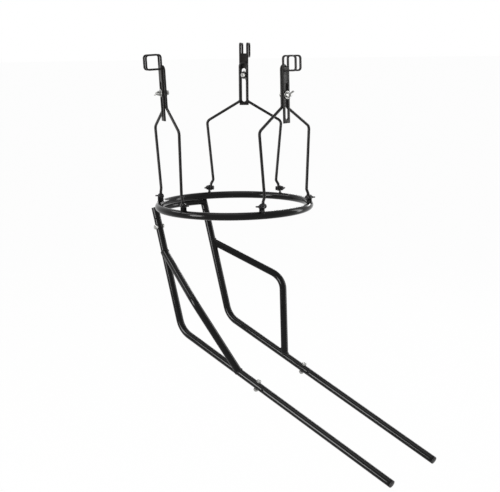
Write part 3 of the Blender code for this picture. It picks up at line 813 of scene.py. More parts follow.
def paint_finish(name, dark, light, gloss, peel, specular, wear=0.0):
    """Black paint or plastic: faint clouding, uneven gloss, orange peel, and scuffs scattered by
    noise.

    Gloss is the least and the greatest roughness. Peel is the waves a metre, their height and
    the strength of the bump. Scuffs show where their noise is greater than one less the wear.
    """
    tree, shader, place = new_finish(name, 0.0, specular)
    cloud = ranged(tree, noise_from(tree, place, *PAINT_CLOUD), 0.0, 1.0)
    colour = blended(tree, cloud, dark, light)
    if wear:
        scuff = noise_from(tree, place, *SCUFF)
        spot = ranged(tree, scuff, 0.0, 1.0, 1.0 - wear, 1.0 - wear + SCUFF_EDGE)
        mix = node_in(tree, "ShaderNodeMix", data_type="RGBA")
        mix.inputs["B"].default_value = (*SCUFF_COLOUR, 1.0)
        tree.links.new(colour, mix.inputs["A"])
        tree.links.new(spot, mix.inputs["Factor"])
        colour = mix.outputs["Result"]
    tree.links.new(colour, shader.inputs["Base Color"])
    rough = ranged(tree, noise_from(tree, place, *PAINT_UNEVEN), *gloss)
    tree.links.new(rough, shader.inputs["Roughness"])
    waves, height, strength = peel
    set_bump(tree, shader, noise_from(tree, place, waves, *PEEL_DETAIL), strength, height)


def plating_finish(name, dark, light, gloss):
    """Plated steel: mottled colour, uneven roughness and fine drawn scratches."""
    tree, shader, place = new_finish(name, 1.0, PLATING_SPECULAR)
    cloud = ranged(tree, noise_from(tree, place, *PLATING_CLOUD), 0.0, 1.0)
    tree.links.new(blended(tree, cloud, dark, light), shader.inputs["Base Color"])
    rough = ranged(tree, noise_from(tree, place, *PLATING_UNEVEN), *gloss)
    tree.links.new(rough, shader.inputs["Roughness"])
    scratch = noise_from(tree, place, *SCRATCHES, stretch=SCRATCH_STRETCH)
    set_bump(tree, shader, scratch, SCRATCH_STRENGTH, SCRATCH_HEIGHT)


def brighter(colour, share):
    """A colour times a share."""
    return tuple(channel * share for channel in colour)


def make_finishes(scene):
    """Every finish of the part, the tubes' and the wires' in the colours that are set."""
    tubes = tuple(scene.chute_sizes.tube_colour)
    wires = tuple(scene.hanger_sizes.wire_colour)
    paint_finish("gloss_black_paint", dark=tubes, light=brighter(tubes, 1.5),
                 gloss=(0.10, 0.15), peel=(330.0, 0.00002, 0.02), specular=0.15)
    paint_finish("painted_weld", dark=tubes, light=brighter(tubes, 1.8),
                 gloss=(0.24, 0.38), peel=(900.0, 0.00006, 0.35), specular=0.16)
    paint_finish("satin_black_wire_coat", dark=wires, light=brighter(wires, 1.5),
                 gloss=(0.26, 0.36), peel=(600.0, 0.00003, 0.12), specular=0.14, wear=0.24)
    paint_finish("satin_black_strip_coat", dark=(0.0056, 0.0046, 0.0043),
                 light=(0.0090, 0.0075, 0.0070), gloss=(0.34, 0.44),
                 peel=(500.0, 0.00004, 0.14), specular=0.13, wear=0.22)
    paint_finish("moulded_plug_plastic", dark=(0.015, 0.015, 0.015),
                 light=(0.022, 0.022, 0.022), gloss=(0.45, 0.60),
                 peel=(1800.0, 0.00004, 0.35), specular=0.3)
    plating_finish("bright_zinc_plating", dark=(0.25, 0.25, 0.24), light=(0.34, 0.34, 0.33),
                   gloss=(0.36, 0.48))
    plating_finish("black_plating", dark=(0.014, 0.014, 0.015), light=(0.032, 0.031, 0.031),
                   gloss=(0.30, 0.46))


# ---------------------------------------------------------------- sizes a user would change


class ChuteSizes(bpy.types.PropertyGroup):
    """Details of the chute's tubes and welds."""

    lip: bpy.props.FloatProperty(
        name="Tube lip", description="Rounding of a cut tube end", default=0.00035,
        min=0.0001, max=0.0005, unit="LENGTH")
    weld_radius: bpy.props.FloatProperty(
        name="Weld bead", description="Radius of a weld bead", default=0.0017, min=0.001,
        max=0.003, unit="LENGTH")
    ripple: bpy.props.FloatProperty(
        name="Weld ripple", description="Length of one ripple of a weld", default=0.0018,
        min=0.001, max=0.004, unit="LENGTH")
    tube_colour: bpy.props.FloatVectorProperty(
        name="Tube colour", description="Base colour of the paint on the tubes", size=3,
        subtype="COLOR", default=(0.0017, 0.0017, 0.0018), min=0.0, max=1.0)


class HangerSizes(bpy.types.PropertyGroup):
    """Details of the yokes, clips and fasteners."""

    clip_edge: bpy.props.FloatProperty(
        name="Clip edge", description="Rounding of the clip's edges", default=0.0005,
        min=0.0001, max=0.0009, unit="LENGTH")
    thread_depth: bpy.props.FloatProperty(
        name="Thread depth", description="Depth of the screw threads", default=0.00032,
        min=0.0001, max=0.0005, unit="LENGTH")
    wire_colour: bpy.props.FloatVectorProperty(
        name="Wire colour", description="Base colour of the coat on the yokes", size=3,
        subtype="COLOR", default=(0.0080, 0.0074, 0.0072), min=0.0, max=1.0)


class StageSettings(bpy.types.PropertyGroup):
    """Floor and lamps."""

    floor_height: bpy.props.FloatProperty(
        name="Floor height", description="Height of the floor below the hung part",
        default=-0.95, unit="LENGTH")
    floor_colour: bpy.props.FloatVectorProperty(
        name="Floor colour", description="Colour of the pale floor", size=3, subtype="COLOR",
        default=(0.90, 0.90, 0.90), min=0.0, max=1.0)
    key_power: bpy.props.FloatProperty(
        name="Key lamp", description="Power of the main soft lamp", default=62.0, min=0.0,
        unit="POWER")
    strip_power: bpy.props.FloatProperty(
        name="Strip lamps", description="Power of the front strip lamp, twice the far one's",
        default=24.0, min=0.0, unit="POWER")
    side_power: bpy.props.FloatProperty(
        name="Side lamp", description="Power of the soft lamp on the far side", default=28.0,
        min=0.0, unit="POWER")
    top_power: bpy.props.FloatProperty(
        name="Top lamp", description="Power of the soft lamp overhead", default=12.0, min=0.0,
        unit="POWER")


# ---------------------------------------------------------------- chute


class CHUTE_OT_ring(bpy.types.Operator):
    """Build the painted ring and the arc tube welded below its rear"""

    bl_idname = "chute.ring"
    bl_label = "Ring and arc tube"

    def execute(self, context):
        """The ring is a circle carried round a circle; the arc is a tube on part of one."""
        around = np.linspace(0, 2 * np.pi, RING_ROWS, endpoint=False)
        out = np.stack([np.cos(around), np.sin(around), np.zeros(RING_ROWS)], 1)
        centres = out * RING_RADIUS + [0, 0, RING_HEIGHT]
        ring = carried(centres, out, np.array([0.0, 0.0, 1.0]), TUBE_RADIUS, TUBE_RADIUS,
                       columns=RING_COLUMNS, wrap=True)
        add_painted("painted_ring", mesh_of([ring]), "ring_tube")
        arc = tube(arc_path(), (0, 0, 1), blind_end(), blind_end())
        add_painted("painted_arc", mesh_of([arc]), "arc_tube")
        return {"FINISHED"}


def arc_path():
    """Centre line of the arc tube, level, touching the ring from behind and below."""
    sweep = math.asin(RAIL_HALF_SPACING / ARC_RADIUS)
    angle = np.linspace(np.pi - sweep, np.pi + sweep, ARC_ROWS)
    level = np.full(ARC_ROWS, RING_HEIGHT - ARC_DROP)
    return np.stack([ARC_RADIUS * np.cos(angle), ARC_RADIUS * np.sin(angle), level], 1)


class CHUTE_OT_rails(bpy.types.Operator):
    """Build the stubs, rails, extensions and end plugs on both sides"""

    bl_idname = "chute.rails"
    bl_label = "Rails"

    def execute(self, context):
        """Tubes on straight runs and one arc, open at their ends, with spigots inside."""
        lip = context.scene.chute_sizes.lip
        normal = np.array([0.0, 1.0, 0.0])
        cut = open_end(lip, MOUTH_DEPTH)
        socket = open_end(lip, SPIGOT_LENGTH + SOCKET_SPARE)
        spigot = spigot_end(lip)
        for word, side in SIDES:
            place = rail_places(side)
            seam, lower_seam = place["seam"], place["lower_seam"]
            end = lower_seam + place["forward"] * EXTENSION_LENGTH
            stub = tube(filled(np.array([place["top"], seam]), STUB_SPACING), normal, cut,
                        spigot)
            add_painted("painted_stub_" + word, mesh_of([stub]), "rail_stub_" + word)
            path = rounded([seam, place["bend"], lower_seam], [RAIL_BEND_RADIUS], BEND_SPACING)
            rail = tube(path, normal, socket, socket)
            add_painted("painted_rail_" + word, mesh_of([rail]), "rail_" + word)
            path = filled(np.array([lower_seam, end]), EXTENSION_SPACING)
            extension = tube(path, normal, spigot, cut)
            add_painted("painted_extension_" + word, mesh_of([extension]),
                        "extension_" + word)
            plug = placed(plug_surface(), end, frame_on(place["forward"], normal))
            add_piece("moulded_plug_" + word, mesh_of([plug]), "ring_frame",
                      "moulded_plug_plastic", ["end_plug_" + word])
        return {"FINISHED"}


def spigot_end(lip):
    """Rows of a tube end that is drawn down: the spigot's tip, its side, and the shoulder."""
    along, across = SHOULDER_KNEE
    distances = [-SPIGOT_LENGTH, -SPIGOT_LENGTH + lip, GAP, GAP, GAP + lip * along, GAP + lip]
    radii = [SPIGOT_RADIUS - lip, SPIGOT_RADIUS, SPIGOT_RADIUS, TUBE_RADIUS - lip,
             TUBE_RADIUS - lip * across, TUBE_RADIUS]
    return np.array(distances), np.array(radii)


def plug_surface():
    """Plug turned about Z: a chamfered stem inside the tube, and a rim with a domed face.

    The rim's edge is a quarter circle, and the dome falls with the square of the radius.
    """
    stem = TUBE_RADIUS - TUBE_WALL - GAP
    turn = np.radians(np.linspace(0, 90, EDGE_ROWS))
    face = TUBE_RADIUS - PLUG_EDGE
    dome = np.linspace(1, PLUG_POLE_SHARE, EDGE_ROWS)[1:]
    heights = np.concatenate([
        [-PLUG_DEPTH, -PLUG_DEPTH, -PLUG_DEPTH + PLUG_LEAD_IN, GAP, GAP, GAP + PLUG_BEVEL],
        PLUG_RIM - PLUG_EDGE + PLUG_EDGE * np.sin(turn) - PLUG_DOME,
        PLUG_RIM - PLUG_DOME * dome ** 2,
    ])
    radii = np.concatenate([
        [stem * PLUG_TIP_SHARE, stem - PLUG_LEAD_IN, stem, stem, TUBE_RADIUS - PLUG_BEVEL,
         TUBE_RADIUS],
        face + PLUG_EDGE * np.cos(turn),
        face * dome,
    ])
    return turned(heights, radii)


class CHUTE_OT_braces(bpy.types.Operator):
    """Build the two bowed braces"""

    bl_idname = "chute.braces"
    bl_label = "Braces"

    def execute(self, context):
        """Each brace is a tube on two straight runs joined by an arc, in its own plane."""
        for word, side in SIDES:
            place = rail_places(side)
            corners = [place["brace_top"], place["brace_corner"], place["brace_foot"]]
            into, out = unit(corners[1] - corners[0]), unit(corners[2] - corners[1])
            corners[0] = corners[0] + into * BRACE_END_INSET
            corners[2] = corners[2] - out * BRACE_END_INSET
            path = rounded(corners, [BRACE_BEND_RADIUS], BEND_SPACING)
            brace = tube(path, np.cross(into, out), blind_end(), blind_end())
            add_painted("painted_brace_" + word, mesh_of([brace]), "brace_" + word)
        return {"FINISHED"}


class CHUTE_OT_welds(bpy.types.Operator):
    """Lay the weld beads where the tubes and ears join"""

    bl_idname = "chute.welds"
    bl_label = "Weld beads"

    def execute(self, context):
        """Beads follow the lines where the skins meet, a little proud of both."""
        sizes = context.scene.chute_sizes
        radius, ripple = sizes.weld_radius, sizes.ripple
        for word, side in SIDES:
            place = rail_places(side)
            corner = place["brace_corner"]
            for level, spot, way in (("top", place["brace_top"], place["down"]),
                                     ("foot", place["brace_foot"], place["forward"])):
                loop, outward = saddle(spot, corner - spot, spot, way)
                add_weld("weld_brace_%s_%s" % (level, word),
                         [bead(loop, outward, radius, ripple, True)])
            path = arc_path()[::int(side)]
            end, inner = path[0], path[ARC_END_STEP]
            loop, outward = saddle(end, inner - end, place["top"], place["down"])
            add_weld("weld_stub_" + word, [bead(loop, outward, radius, ripple, True)])
        add_weld("weld_arc_stitches", [stitch(middle, up, radius * STITCH_SHARE, ripple)
                                       for middle in STITCH_ANGLES for up in (1.0, -1.0)])
        for name, angle, _lean in YOKES:
            origin, axes = yoke_frame(angle, 0.0)
            add_weld("weld_ears_" + name,
                     [ear_weld(origin + axes[0] * side * EAR_OFFSET, axes, ripple)
                      for side in (1.0, -1.0)])
        return {"FINISHED"}


def stitch(middle, up, radius, ripple):
    """Open bead in the groove between the ring and the arc tube, above (1) or below (-1).

    It runs round the ring's axis beside the line where the tubes touch, raised square to the
    line between their centres.
    """
    angle = np.radians(180.0 + middle + np.linspace(-STITCH_HALF_ANGLE, STITCH_HALF_ANGLE,
                                                    STITCH_ROWS))
    below = math.radians(ARC_ANGLE_BELOW_RING)
    touch = TUBE_RADIUS + GAP / 2
    rise = STITCH_RISE * up
    out = RING_RADIUS + touch * math.cos(below) + rise * math.sin(below)
    level = RING_HEIGHT - touch * math.sin(below) + rise * math.cos(below)
    line = np.stack([out * np.cos(angle), out * np.sin(angle), np.full(STITCH_ROWS, level)], 1)
    side = up * math.sin(below)
    away = np.stack([side * np.cos(angle), side * np.sin(angle),
                     np.full(STITCH_ROWS, up * math.cos(below))], 1)
    return bead(line, away, radius, ripple, False)


def ear_weld(centre, axes, ripple):
    """Bead round the foot of an ear: a rounded rectangle laid on the ring's skin.

    The skin's height over the ring's plane is the root of the tube's radius squared less the
    square of the distance from the ring's centre line.
    """
    half = np.array([EAR_THICKNESS / 2, EAR_RADIUS]) + EAR_BEAD_CLEARANCE
    angle = np.linspace(0, 2 * np.pi, EAR_BEAD_ROWS)
    round_plan = circle(angle)
    plan = np.sign(round_plan) * np.abs(round_plan) ** EAR_BEAD_CORNER_POWER * half
    points = centre + plan[:, :1] * axes[0] + plan[:, 1:] * axes[1]
    away = np.hypot(points[:, 0], points[:, 1]) - RING_RADIUS
    rise = np.sqrt(np.maximum(TUBE_RADIUS ** 2 - away ** 2, 0))
    points[:, 2] = RING_HEIGHT + rise + EAR_BEAD_LIFT
    outward = (plan[:, :1] * axes[0] * EAR_BEAD_SIDEWAYS + plan[:, 1:] * axes[1]
               + np.array([0, 0, EAR_BEAD_UPWARDS]))
    return bead(points, outward, EAR_BEAD_RADIUS, ripple * EAR_BEAD_RIPPLE_SHARE, True)


# ---------------------------------------------------------------- fasteners


def bolt_surface(shank, flats, head, length, thread_depth, threaded):
    """Hex bolt about Z: chamfered head below zero, washer face, shank and threaded tip."""
    slope = math.tan(math.radians(CHAMFER_ANGLE))
    chamfer = np.linspace(*HEAD_CHAMFER) * flats
    rows = [(-head + depth, flats * share) for depth, share in HEAD_TOP]
    rows += [(-head + (radius - chamfer[0]) * slope, radius) for radius in chamfer]
    rows += [(-rise, flats * share) for rise, share in HEAD_UNDERSIDE]
    plain = length - threaded
    rows += [(0.0, shank + SHANK_FILLET), (SHANK_FILLET, shank), (plain, shank)]
    steps = np.arange(plain + THREAD_SPACING, length - THREAD_STOP, THREAD_SPACING)
    rows += [(height, shank) for height in steps]
    along, across = TIP_CHAMFER
    rows += [(length - along * (1 - share), shank - across * share) for share in TIP_SHARES]
    heights, radii = zip(*rows)
    return turned(heights, radii, flats, (thread_depth, shank * PITCH_SHARE, plain, length))


def nut_surface(shank, flats, height):
    """Hex nut about Z from zero up, chamfered on both sides, with a countersunk bore."""
    slope = math.tan(math.radians(CHAMFER_ANGLE))
    chamfer = np.linspace(*NUT_CHAMFER) * flats
    bore = shank + NUT_BORE_CLEARANCE
    lower = [(NUT_COUNTERSINK, bore), (0.0, bore + NUT_COUNTERSINK)]
    lower += [((radius - chamfer[0]) * slope, radius) for radius in chamfer]
    rows = lower + [(height - low, radius) for low, radius in lower[::-1]]
    heights, radii = zip(*rows)
    return turned(heights, radii, flats, wrap=True)


def washer_surface(radius, bore, thickness):
    """Washer about Z: a flat ring with a rounded rim and a chamfered bore."""
    edge = thickness * WASHER_EDGE_SHARE
    turn = np.radians(np.linspace(0, 90, WASHER_EDGE_ROWS))
    outer = [(edge * (1 - math.sin(t)), radius - edge + edge * math.cos(t)) for t in turn[::-1]]
    top = [(thickness - edge * (1 - math.sin(t)), radius - edge + edge * math.cos(t))
           for t in turn]
    rows = [(0.0, bore + WASHER_CHAMFER), *outer, *top, (thickness, bore + WASHER_TOP_CHAMFER),
            (thickness - WASHER_CHAMFER, bore), (WASHER_CHAMFER, bore)]
    heights, radii = zip(*rows)
    return turned(np.array(heights) - thickness / 2, radii, columns=WASHER_COLUMNS, wrap=True)


def wing_nut_mesh(shank, sizes, voxel):
    """Cast wing nut about Z: a tapered hub and two lobes, run together with soft fillets.

    A lobe's centre line rises from the hub to its tip by a power of the way along, its height
    swells from the hub's to the tip's circle by another, and its thickness thins evenly.
    """
    hub, hub_height, span, height, wing, tip = sizes
    bore = shank + HOLE_CLEARANCE
    hub_top = hub * HUB_TOP_SHARE
    rows = [(0.0, bore), (0.0, hub - HUB_FOOT_EDGE), (HUB_FOOT_EDGE, hub),
            (hub_height - HUB_TOP_EDGE, hub_top), (hub_height, hub_top - HUB_TOP_EDGE),
            (hub_height, bore)]
    heights, radii = zip(*rows)
    along = np.linspace(0, 1, LOBE_ROWS)
    reach = span / 2 - tip
    root = hub * LOBE_ROOT_SHARE
    low, high = hub_height * LOBE_RISE_SHARE, height - tip
    least = hub_height * LOBE_HALF_SHARE
    turn = np.radians(np.linspace(*LOBE_TIP_ANGLES, LOBE_TIP_ROWS))
    x = np.concatenate([root + (reach - root) * along,
                        reach + tip * np.sin(turn) * LOBE_TIP_FLATNESS])
    z = np.concatenate([low + (high - low) * along ** LOBE_RISE_POWER,
                        np.full(LOBE_TIP_ROWS, high)])
    half = np.concatenate([least + (tip - least) * along ** LOBE_SWELL_POWER,
                           tip * np.cos(turn)])
    thinned = LOBE_THINNING * np.clip((x - root) / (reach - root), 0, LOBE_THINNING_END)
    thick = wing / 2 * (LOBE_ROOT_THICKNESS - thinned)
    parts = [turned(heights, radii, wrap=True)]
    for side in (1.0, -1.0):
        centres = np.stack([side * x, np.zeros(len(x)), z], 1)
        parts.append(carried(centres, (0, 0, 1), (0, 1, 0), half, thick, columns=WIRE_COLUMNS,
                             power=LOBE_SECTION_POWER))
    return modified(mesh_of(parts), [
        ("REMESH", {"mode": "VOXEL", "voxel_size": voxel, "use_smooth_shade": True}),
        ("SMOOTH", {"factor": NUT_SMOOTH_FACTOR, "iterations": NUT_SMOOTH_ROUNDS}),
    ])


def moved(mesh, origin, axes):
    """A mesh taken from its own frame: axes holds its X, Y and Z as rows."""
    matrix = Matrix(np.asarray(axes, float).T.tolist()).to_4x4()
    matrix.translation = origin
    mesh.transform(matrix)
    return mesh


class CHUTE_OT_tube_bolts(bpy.types.Operator):
    """Build the zinc bolts and nuts through the tube joints"""

    bl_idname = "chute.tube_bolts"
    bl_label = "Tube bolts"

    def execute(self, context):
        """Bolt and nut sit on opposite sides of the tube, on one axis."""
        depth = context.scene.hanger_sizes.thread_depth
        seat = TUBE_RADIUS + GAP
        length = 2 * seat + SMALL_NUT + GAP + SMALL_TAIL
        bolt = bolt_surface(SMALL_SHANK, SMALL_FLATS, SMALL_HEAD, length, depth, SMALL_THREAD)
        nut = nut_surface(SMALL_SHANK, SMALL_FLATS, SMALL_NUT)
        for word, side in SIDES:
            place = rail_places(side)
            for level, way in (("upper", np.array([0.0, side, 0.0])),
                               ("lower", -place["square"])):
                point = place[level + "_bolt"]
                axes = frame_on(way, (1, 0, 0))
                for kind, surface, spot in (("bolt", bolt, point - way * seat),
                                            ("nut", nut, point + way * seat)):
                    tag = "%s_%s_%s" % (level, kind, word)
                    add_piece("zinc_" + tag, mesh_of([placed(surface, spot, axes)]),
                              "ring_frame", "bright_zinc_plating", [tag])
        return {"FINISHED"}


class CHUTE_OT_ears(bpy.types.Operator):
    """Build the ring's ears with their black bolts and wing nuts"""

    bl_idname = "chute.ears"
    bl_label = "Ears and pivots"

    def execute(self, context):
        """An ear is an arched outline given a thickness and a hole, with eased edges."""
        depth = context.scene.hanger_sizes.thread_depth
        foot = EAR_THICKNESS / 2 + GAP + FOOT_THICKNESS
        head_face = EAR_OFFSET - foot - GAP
        nut_face = EAR_OFFSET + EAR_THICKNESS / 2 + GAP
        length = nut_face - head_face + EAR_NUT[1] + SMALL_TAIL
        bolt = bolt_surface(SMALL_SHANK, SMALL_FLATS, SMALL_HEAD, length, depth, PIVOT_THREAD)
        nut = wing_nut_mesh(SMALL_SHANK, EAR_NUT, EAR_NUT_VOXEL)
        for name, angle, _lean in YOKES:
            origin, axes = yoke_frame(angle, 0.0)
            for word, side in (("a", 1.0), ("b", -1.0)):
                tag = name + "_" + word
                way = axes[0] * side
                add_painted("ear_plate_" + tag, ear_plate(origin + way * EAR_OFFSET, axes),
                            "ear_" + tag)
                lie = frame_on(way, (0, 0, 1))
                add_piece("pivot_bolt_" + tag,
                          mesh_of([placed(bolt, origin + way * head_face, lie)]), "ring_frame",
                          "black_plating", ["ear_bolt_" + tag])
                level = frame_on(way, axes[1])
                add_piece("pivot_wing_nut_" + tag,
                          moved(nut.copy(), origin + way * nut_face, level),
                          "ear_wing_nut_" + tag, "black_plating",
                          ["ear_wing_nut_" + tag])
        bpy.data.meshes.remove(nut)
        return {"FINISHED"}


def ear_plate(centre, axes):
    """Plate with a half-round top, from below the ring's skin up round the pivot."""
    base = TUBE_RADIUS - PIVOT_RISE - EAR_SADDLE
    turn = np.radians(np.linspace(0, 180, EAR_TOP_ROWS))
    outline = np.concatenate([[[EAR_RADIUS, base]],
                              circle(turn) * EAR_RADIUS,
                              [[-EAR_RADIUS, base]]])
    plate = prism(outline, -EAR_THICKNESS / 2, EAR_THICKNESS / 2)
    cutter = prism(pivot_hole(), -EAR_THICKNESS, EAR_THICKNESS)
    mesh = eased(cut_by(mesh_of([plate]), [cutter]), EAR_EDGE)
    return moved(mesh, centre, np.array([axes[1], axes[2], axes[0]]))


def pivot_hole():
    """Outline of the hole round a pivot bolt, a circle."""
    turn = np.linspace(0, 2 * np.pi, HOLE_COLUMNS, endpoint=False)
    return circle(turn) * (SMALL_SHANK + HOLE_CLEARANCE)


def prism(outline, low, high):
    """A flat outline carried from one height to another, with flat ends."""
    points = np.stack([np.column_stack([outline, np.full(len(outline), z)])
                       for z in (low, high)])
    return closed_grid(points)


# ---------------------------------------------------------------- yokes and clips


class CHUTE_OT_yokes(bpy.types.Operator):
    """Build the three bent wire yokes"""

    bl_idname = "chute.yokes"
    bl_label = "Wire yokes"

    def execute(self, context):
        """Each yoke is one wire on a symmetric bent path, with a hole through each foot."""
        holes = [placed(prism(pivot_hole(), x - FOOT_CUT_HALF, x + FOOT_CUT_HALF), (0, 0, 0),
                        SIDE_OUTLINE) for x in (foot_x(), -foot_x())]
        mesh = cut_by(mesh_of([yoke_surface()]), holes)
        for name, angle, lean in YOKES:
            origin, axes = yoke_frame(angle, lean)
            add_piece("wire_yoke_" + name, moved(mesh.copy(), origin, axes), "yoke_" + name,
                      "satin_black_wire_coat", ["yoke_" + name],
                      sharp=WIRE_SHARP_ANGLE)
        bpy.data.meshes.remove(mesh)
        return {"FINISHED"}


def foot_x():
    """Distance of a foot's middle from the yoke's middle, along the pivot."""
    return EAR_OFFSET - EAR_THICKNESS / 2 - GAP - FOOT_THICKNESS / 2


def yoke_surface():
    """Wire on its bent path; towards each foot the round section flattens into an eye.

    The half width out of the yoke's plane is the sixth root of the sum of two sixth powers, of
    the eye's circle at that rise and of the tongue's half width, which changes to the wire's
    radius by a smooth step. By the same step the half width in the plane changes from half the
    foot's thickness to the wire's radius, and the section from nearly square to round.
    """
    corners = [(foot_x(), 0, -FOOT_RADIUS), (foot_x(), 0, WIRE_START_RISE),
               (KINK[0], 0, KINK[1]), (SHOULDER[0], 0, SHOULDER[1]), (NECK[0], 0, NECK[1]),
               (NECK[0], 0, HAIRPIN_RISE - NECK[0])]
    side = rounded(corners, WIRE_BEND_RADII, WIRE_SPACING)
    turn = np.radians(np.linspace(0, 180, HAIRPIN_ROWS))[1:-1]
    top = np.stack([NECK[0] * np.cos(turn), np.zeros(len(turn)),
                    HAIRPIN_RISE - NECK[0] + NECK[0] * np.sin(turn)], 1)
    path = np.concatenate([side, top, side[::-1] * [-1, 1, 1]])
    station = stations(path)
    near = np.minimum(station, station[-1] - station)
    rise = near - FOOT_RADIUS
    fade = np.clip((rise - FOOT_FADE_START) / FOOT_FADE_LENGTH, 0, 1)
    fade = fade * fade * (3 - 2 * fade)
    eye = np.sqrt(np.clip(FOOT_RADIUS ** 2 - rise ** 2, 0, None))
    tongue = TONGUE_HALF_WIDTH + (WIRE_RADIUS - TONGUE_HALF_WIDTH) * fade
    tongue = np.where(rise > 0, tongue, 0.0)
    across = (eye ** EYE_BLEND_POWER + tongue ** EYE_BLEND_POWER) ** (1 / EYE_BLEND_POWER)
    across = np.maximum(across, LEAST_HALF_WIDTH)
    thick = FOOT_THICKNESS / 2 + (WIRE_RADIUS - FOOT_THICKNESS / 2) * fade
    thick = thick * np.clip(near / FOOT_END_LENGTH, FOOT_END_LEAST, 1) ** 0.5
    power = FOOT_SECTION_POWER + (WIRE_SECTION_POWER - FOOT_SECTION_POWER) * fade
    plane = np.array([0.0, 1.0, 0.0])
    first = unit(np.cross(plane, tangents(path)))
    return carried(path, first, plane, thick, across, columns=WIRE_COLUMNS, power=power)


class CHUTE_OT_clips(bpy.types.Operator):
    """Build the three forked hook clips with their zinc fasteners"""

    bl_idname = "chute.clips"
    bl_label = "Hook clips"

    def execute(self, context):
        """A clip is a flat strip on a bent path, forked and slotted, with eased edges."""
        sizes = context.scene.hanger_sizes
        clip = clip_mesh(sizes.clip_edge)
        nut = wing_nut_mesh(CLIP_SHANK, CLIP_NUT, CLIP_NUT_VOXEL)
        inner_middle = WIRE_RADIUS + GAP + INNER_WASHER_THICKNESS / 2
        head_face = WIRE_RADIUS + INNER_WASHER_THICKNESS + 2 * GAP
        washer_middle = CLIP_BACK + GAP + WASHER_THICKNESS / 2
        nut_face = CLIP_BACK + WASHER_THICKNESS + 2 * GAP
        length = nut_face + head_face + CLIP_NUT[1] + CLIP_TAIL
        bolt = bolt_surface(CLIP_SHANK, CLIP_FLATS, CLIP_HEAD, length, sizes.thread_depth,
                            CLIP_THREAD)
        bore = CLIP_SHANK + HOLE_CLEARANCE
        washer = washer_surface(WASHER_RADIUS, bore, WASHER_THICKNESS)
        inner = washer_surface(INNER_WASHER_RADIUS, bore, INNER_WASHER_THICKNESS)
        for name, angle, lean in YOKES:
            top_rise, drop, turned_by = CLIPS[name]
            pivot, axes = yoke_frame(angle, lean)
            origin = pivot + axes[2] * (top_rise - drop)
            body = "clip_" + name
            add_piece("hook_" + name, moved(clip.copy(), pivot + axes[2] * top_rise, axes), body,
                      "satin_black_strip_coat", ["clip_" + name])
            lie = frame_on(axes[1], axes[2])
            add_piece("zinc_clip_bolt_" + name,
                      mesh_of([placed(bolt, origin - axes[1] * head_face, lie)]), body,
                      "bright_zinc_plating", ["clip_bolt_" + name])
            add_piece("zinc_clip_washer_" + name,
                      mesh_of([placed(washer, origin + axes[1] * washer_middle, lie)]), body,
                      "bright_zinc_plating", ["clip_washer_" + name])
            back = frame_on(-axes[1], axes[2])
            add_piece("black_clip_washer_" + name,
                      mesh_of([placed(inner, origin - axes[1] * inner_middle, back)]), body,
                      "black_plating", ["clip_inner_washer_" + name])
            swing = math.radians(turned_by)
            lobes = axes[2] * math.sin(swing) - axes[0] * math.cos(swing)
            add_piece("zinc_clip_wing_nut_" + name,
                      moved(nut.copy(), origin + axes[1] * nut_face, frame_on(axes[1], lobes)),
                      "clip_wing_nut_" + name, "bright_zinc_plating",
                      ["clip_wing_nut_" + name])
        for mesh in (clip, nut):
            bpy.data.meshes.remove(mesh)
        return {"FINISHED"}


def clip_mesh(edge):
    """Hook clip below its own top: X across, Y outwards, Z up, the yoke's wire at Y zero.

    The strip is a rectangle carried along the bent path: its width lies on X and its thickness
    square to the path. Rows are kept only at the ends of straight runs and on the bends.
    """
    crown = -CLIP_THICKNESS / 2
    lip = -CLIP_HOOK_HEIGHT + CLIP_THICKNESS / 2
    outside = CLIP_FACE + CLIP_DEPTH - CLIP_THICKNESS / 2
    corners = [(0, CLIP_MIDDLE, -CLIP_HEIGHT), (0, CLIP_MIDDLE, crown), (0, outside, crown),
               (0, outside, lip), (0, CLIP_BACK + GAP, lip)]
    path = rounded(corners, [CLIP_BEND_RADIUS] * 3, WIRE_SPACING)
    turning = np.abs(np.diff(tangents(path), axis=0)).sum(1) > STRAIGHT_TURN
    turning = np.concatenate([[True], turning])
    path = path[turning | np.concatenate([turning[1:], [True]])]
    way = tangents(path)
    plane = np.array([1.0, 0.0, 0.0])
    side = unit(np.cross(plane, way)) * CLIP_THICKNESS / 2
    half = plane * CLIP_WIDTH / 2
    points = np.stack([path + side + half, path + side - half, path - side - half,
                       path - side + half], 1)
    step = CLIP_BACK + GAP / 2
    front, far = CLIP_FACE - CUT_OVERRUN, outside + CUT_OVERRUN
    fork = np.array([(front, -FORK_DEPTH), (step, -FORK_DEPTH), (step, lip - CUT_OVERRUN),
                     (far, lip - CUT_OVERRUN), (far, CUT_OVERRUN), (front, CUT_OVERRUN)])
    fork = placed(prism(fork, -FORK_GAP / 2, FORK_GAP / 2), (0, 0, 0), SIDE_OUTLINE)
    radius = SLOT_WIDTH / 2
    turn = np.radians(np.linspace(0, 180, SLOT_END_ROWS))
    arch = circle(turn) * radius
    slot = np.concatenate([arch - [0, SLOT_BELOW_TOP + radius],
                           -arch - [0, CLIP_HEIGHT - SLOT_END_MARGIN - radius]])
    slot = placed(prism(slot, -CLIP_BACK - CUT_OVERRUN, CUT_OVERRUN - CLIP_FACE), (0, 0, 0),
                  FACE_OUTLINE)
    return eased(cut_by(mesh_of([closed_grid(points)]), [fork, slot]), edge)


# ---------------------------------------------------------------- stage


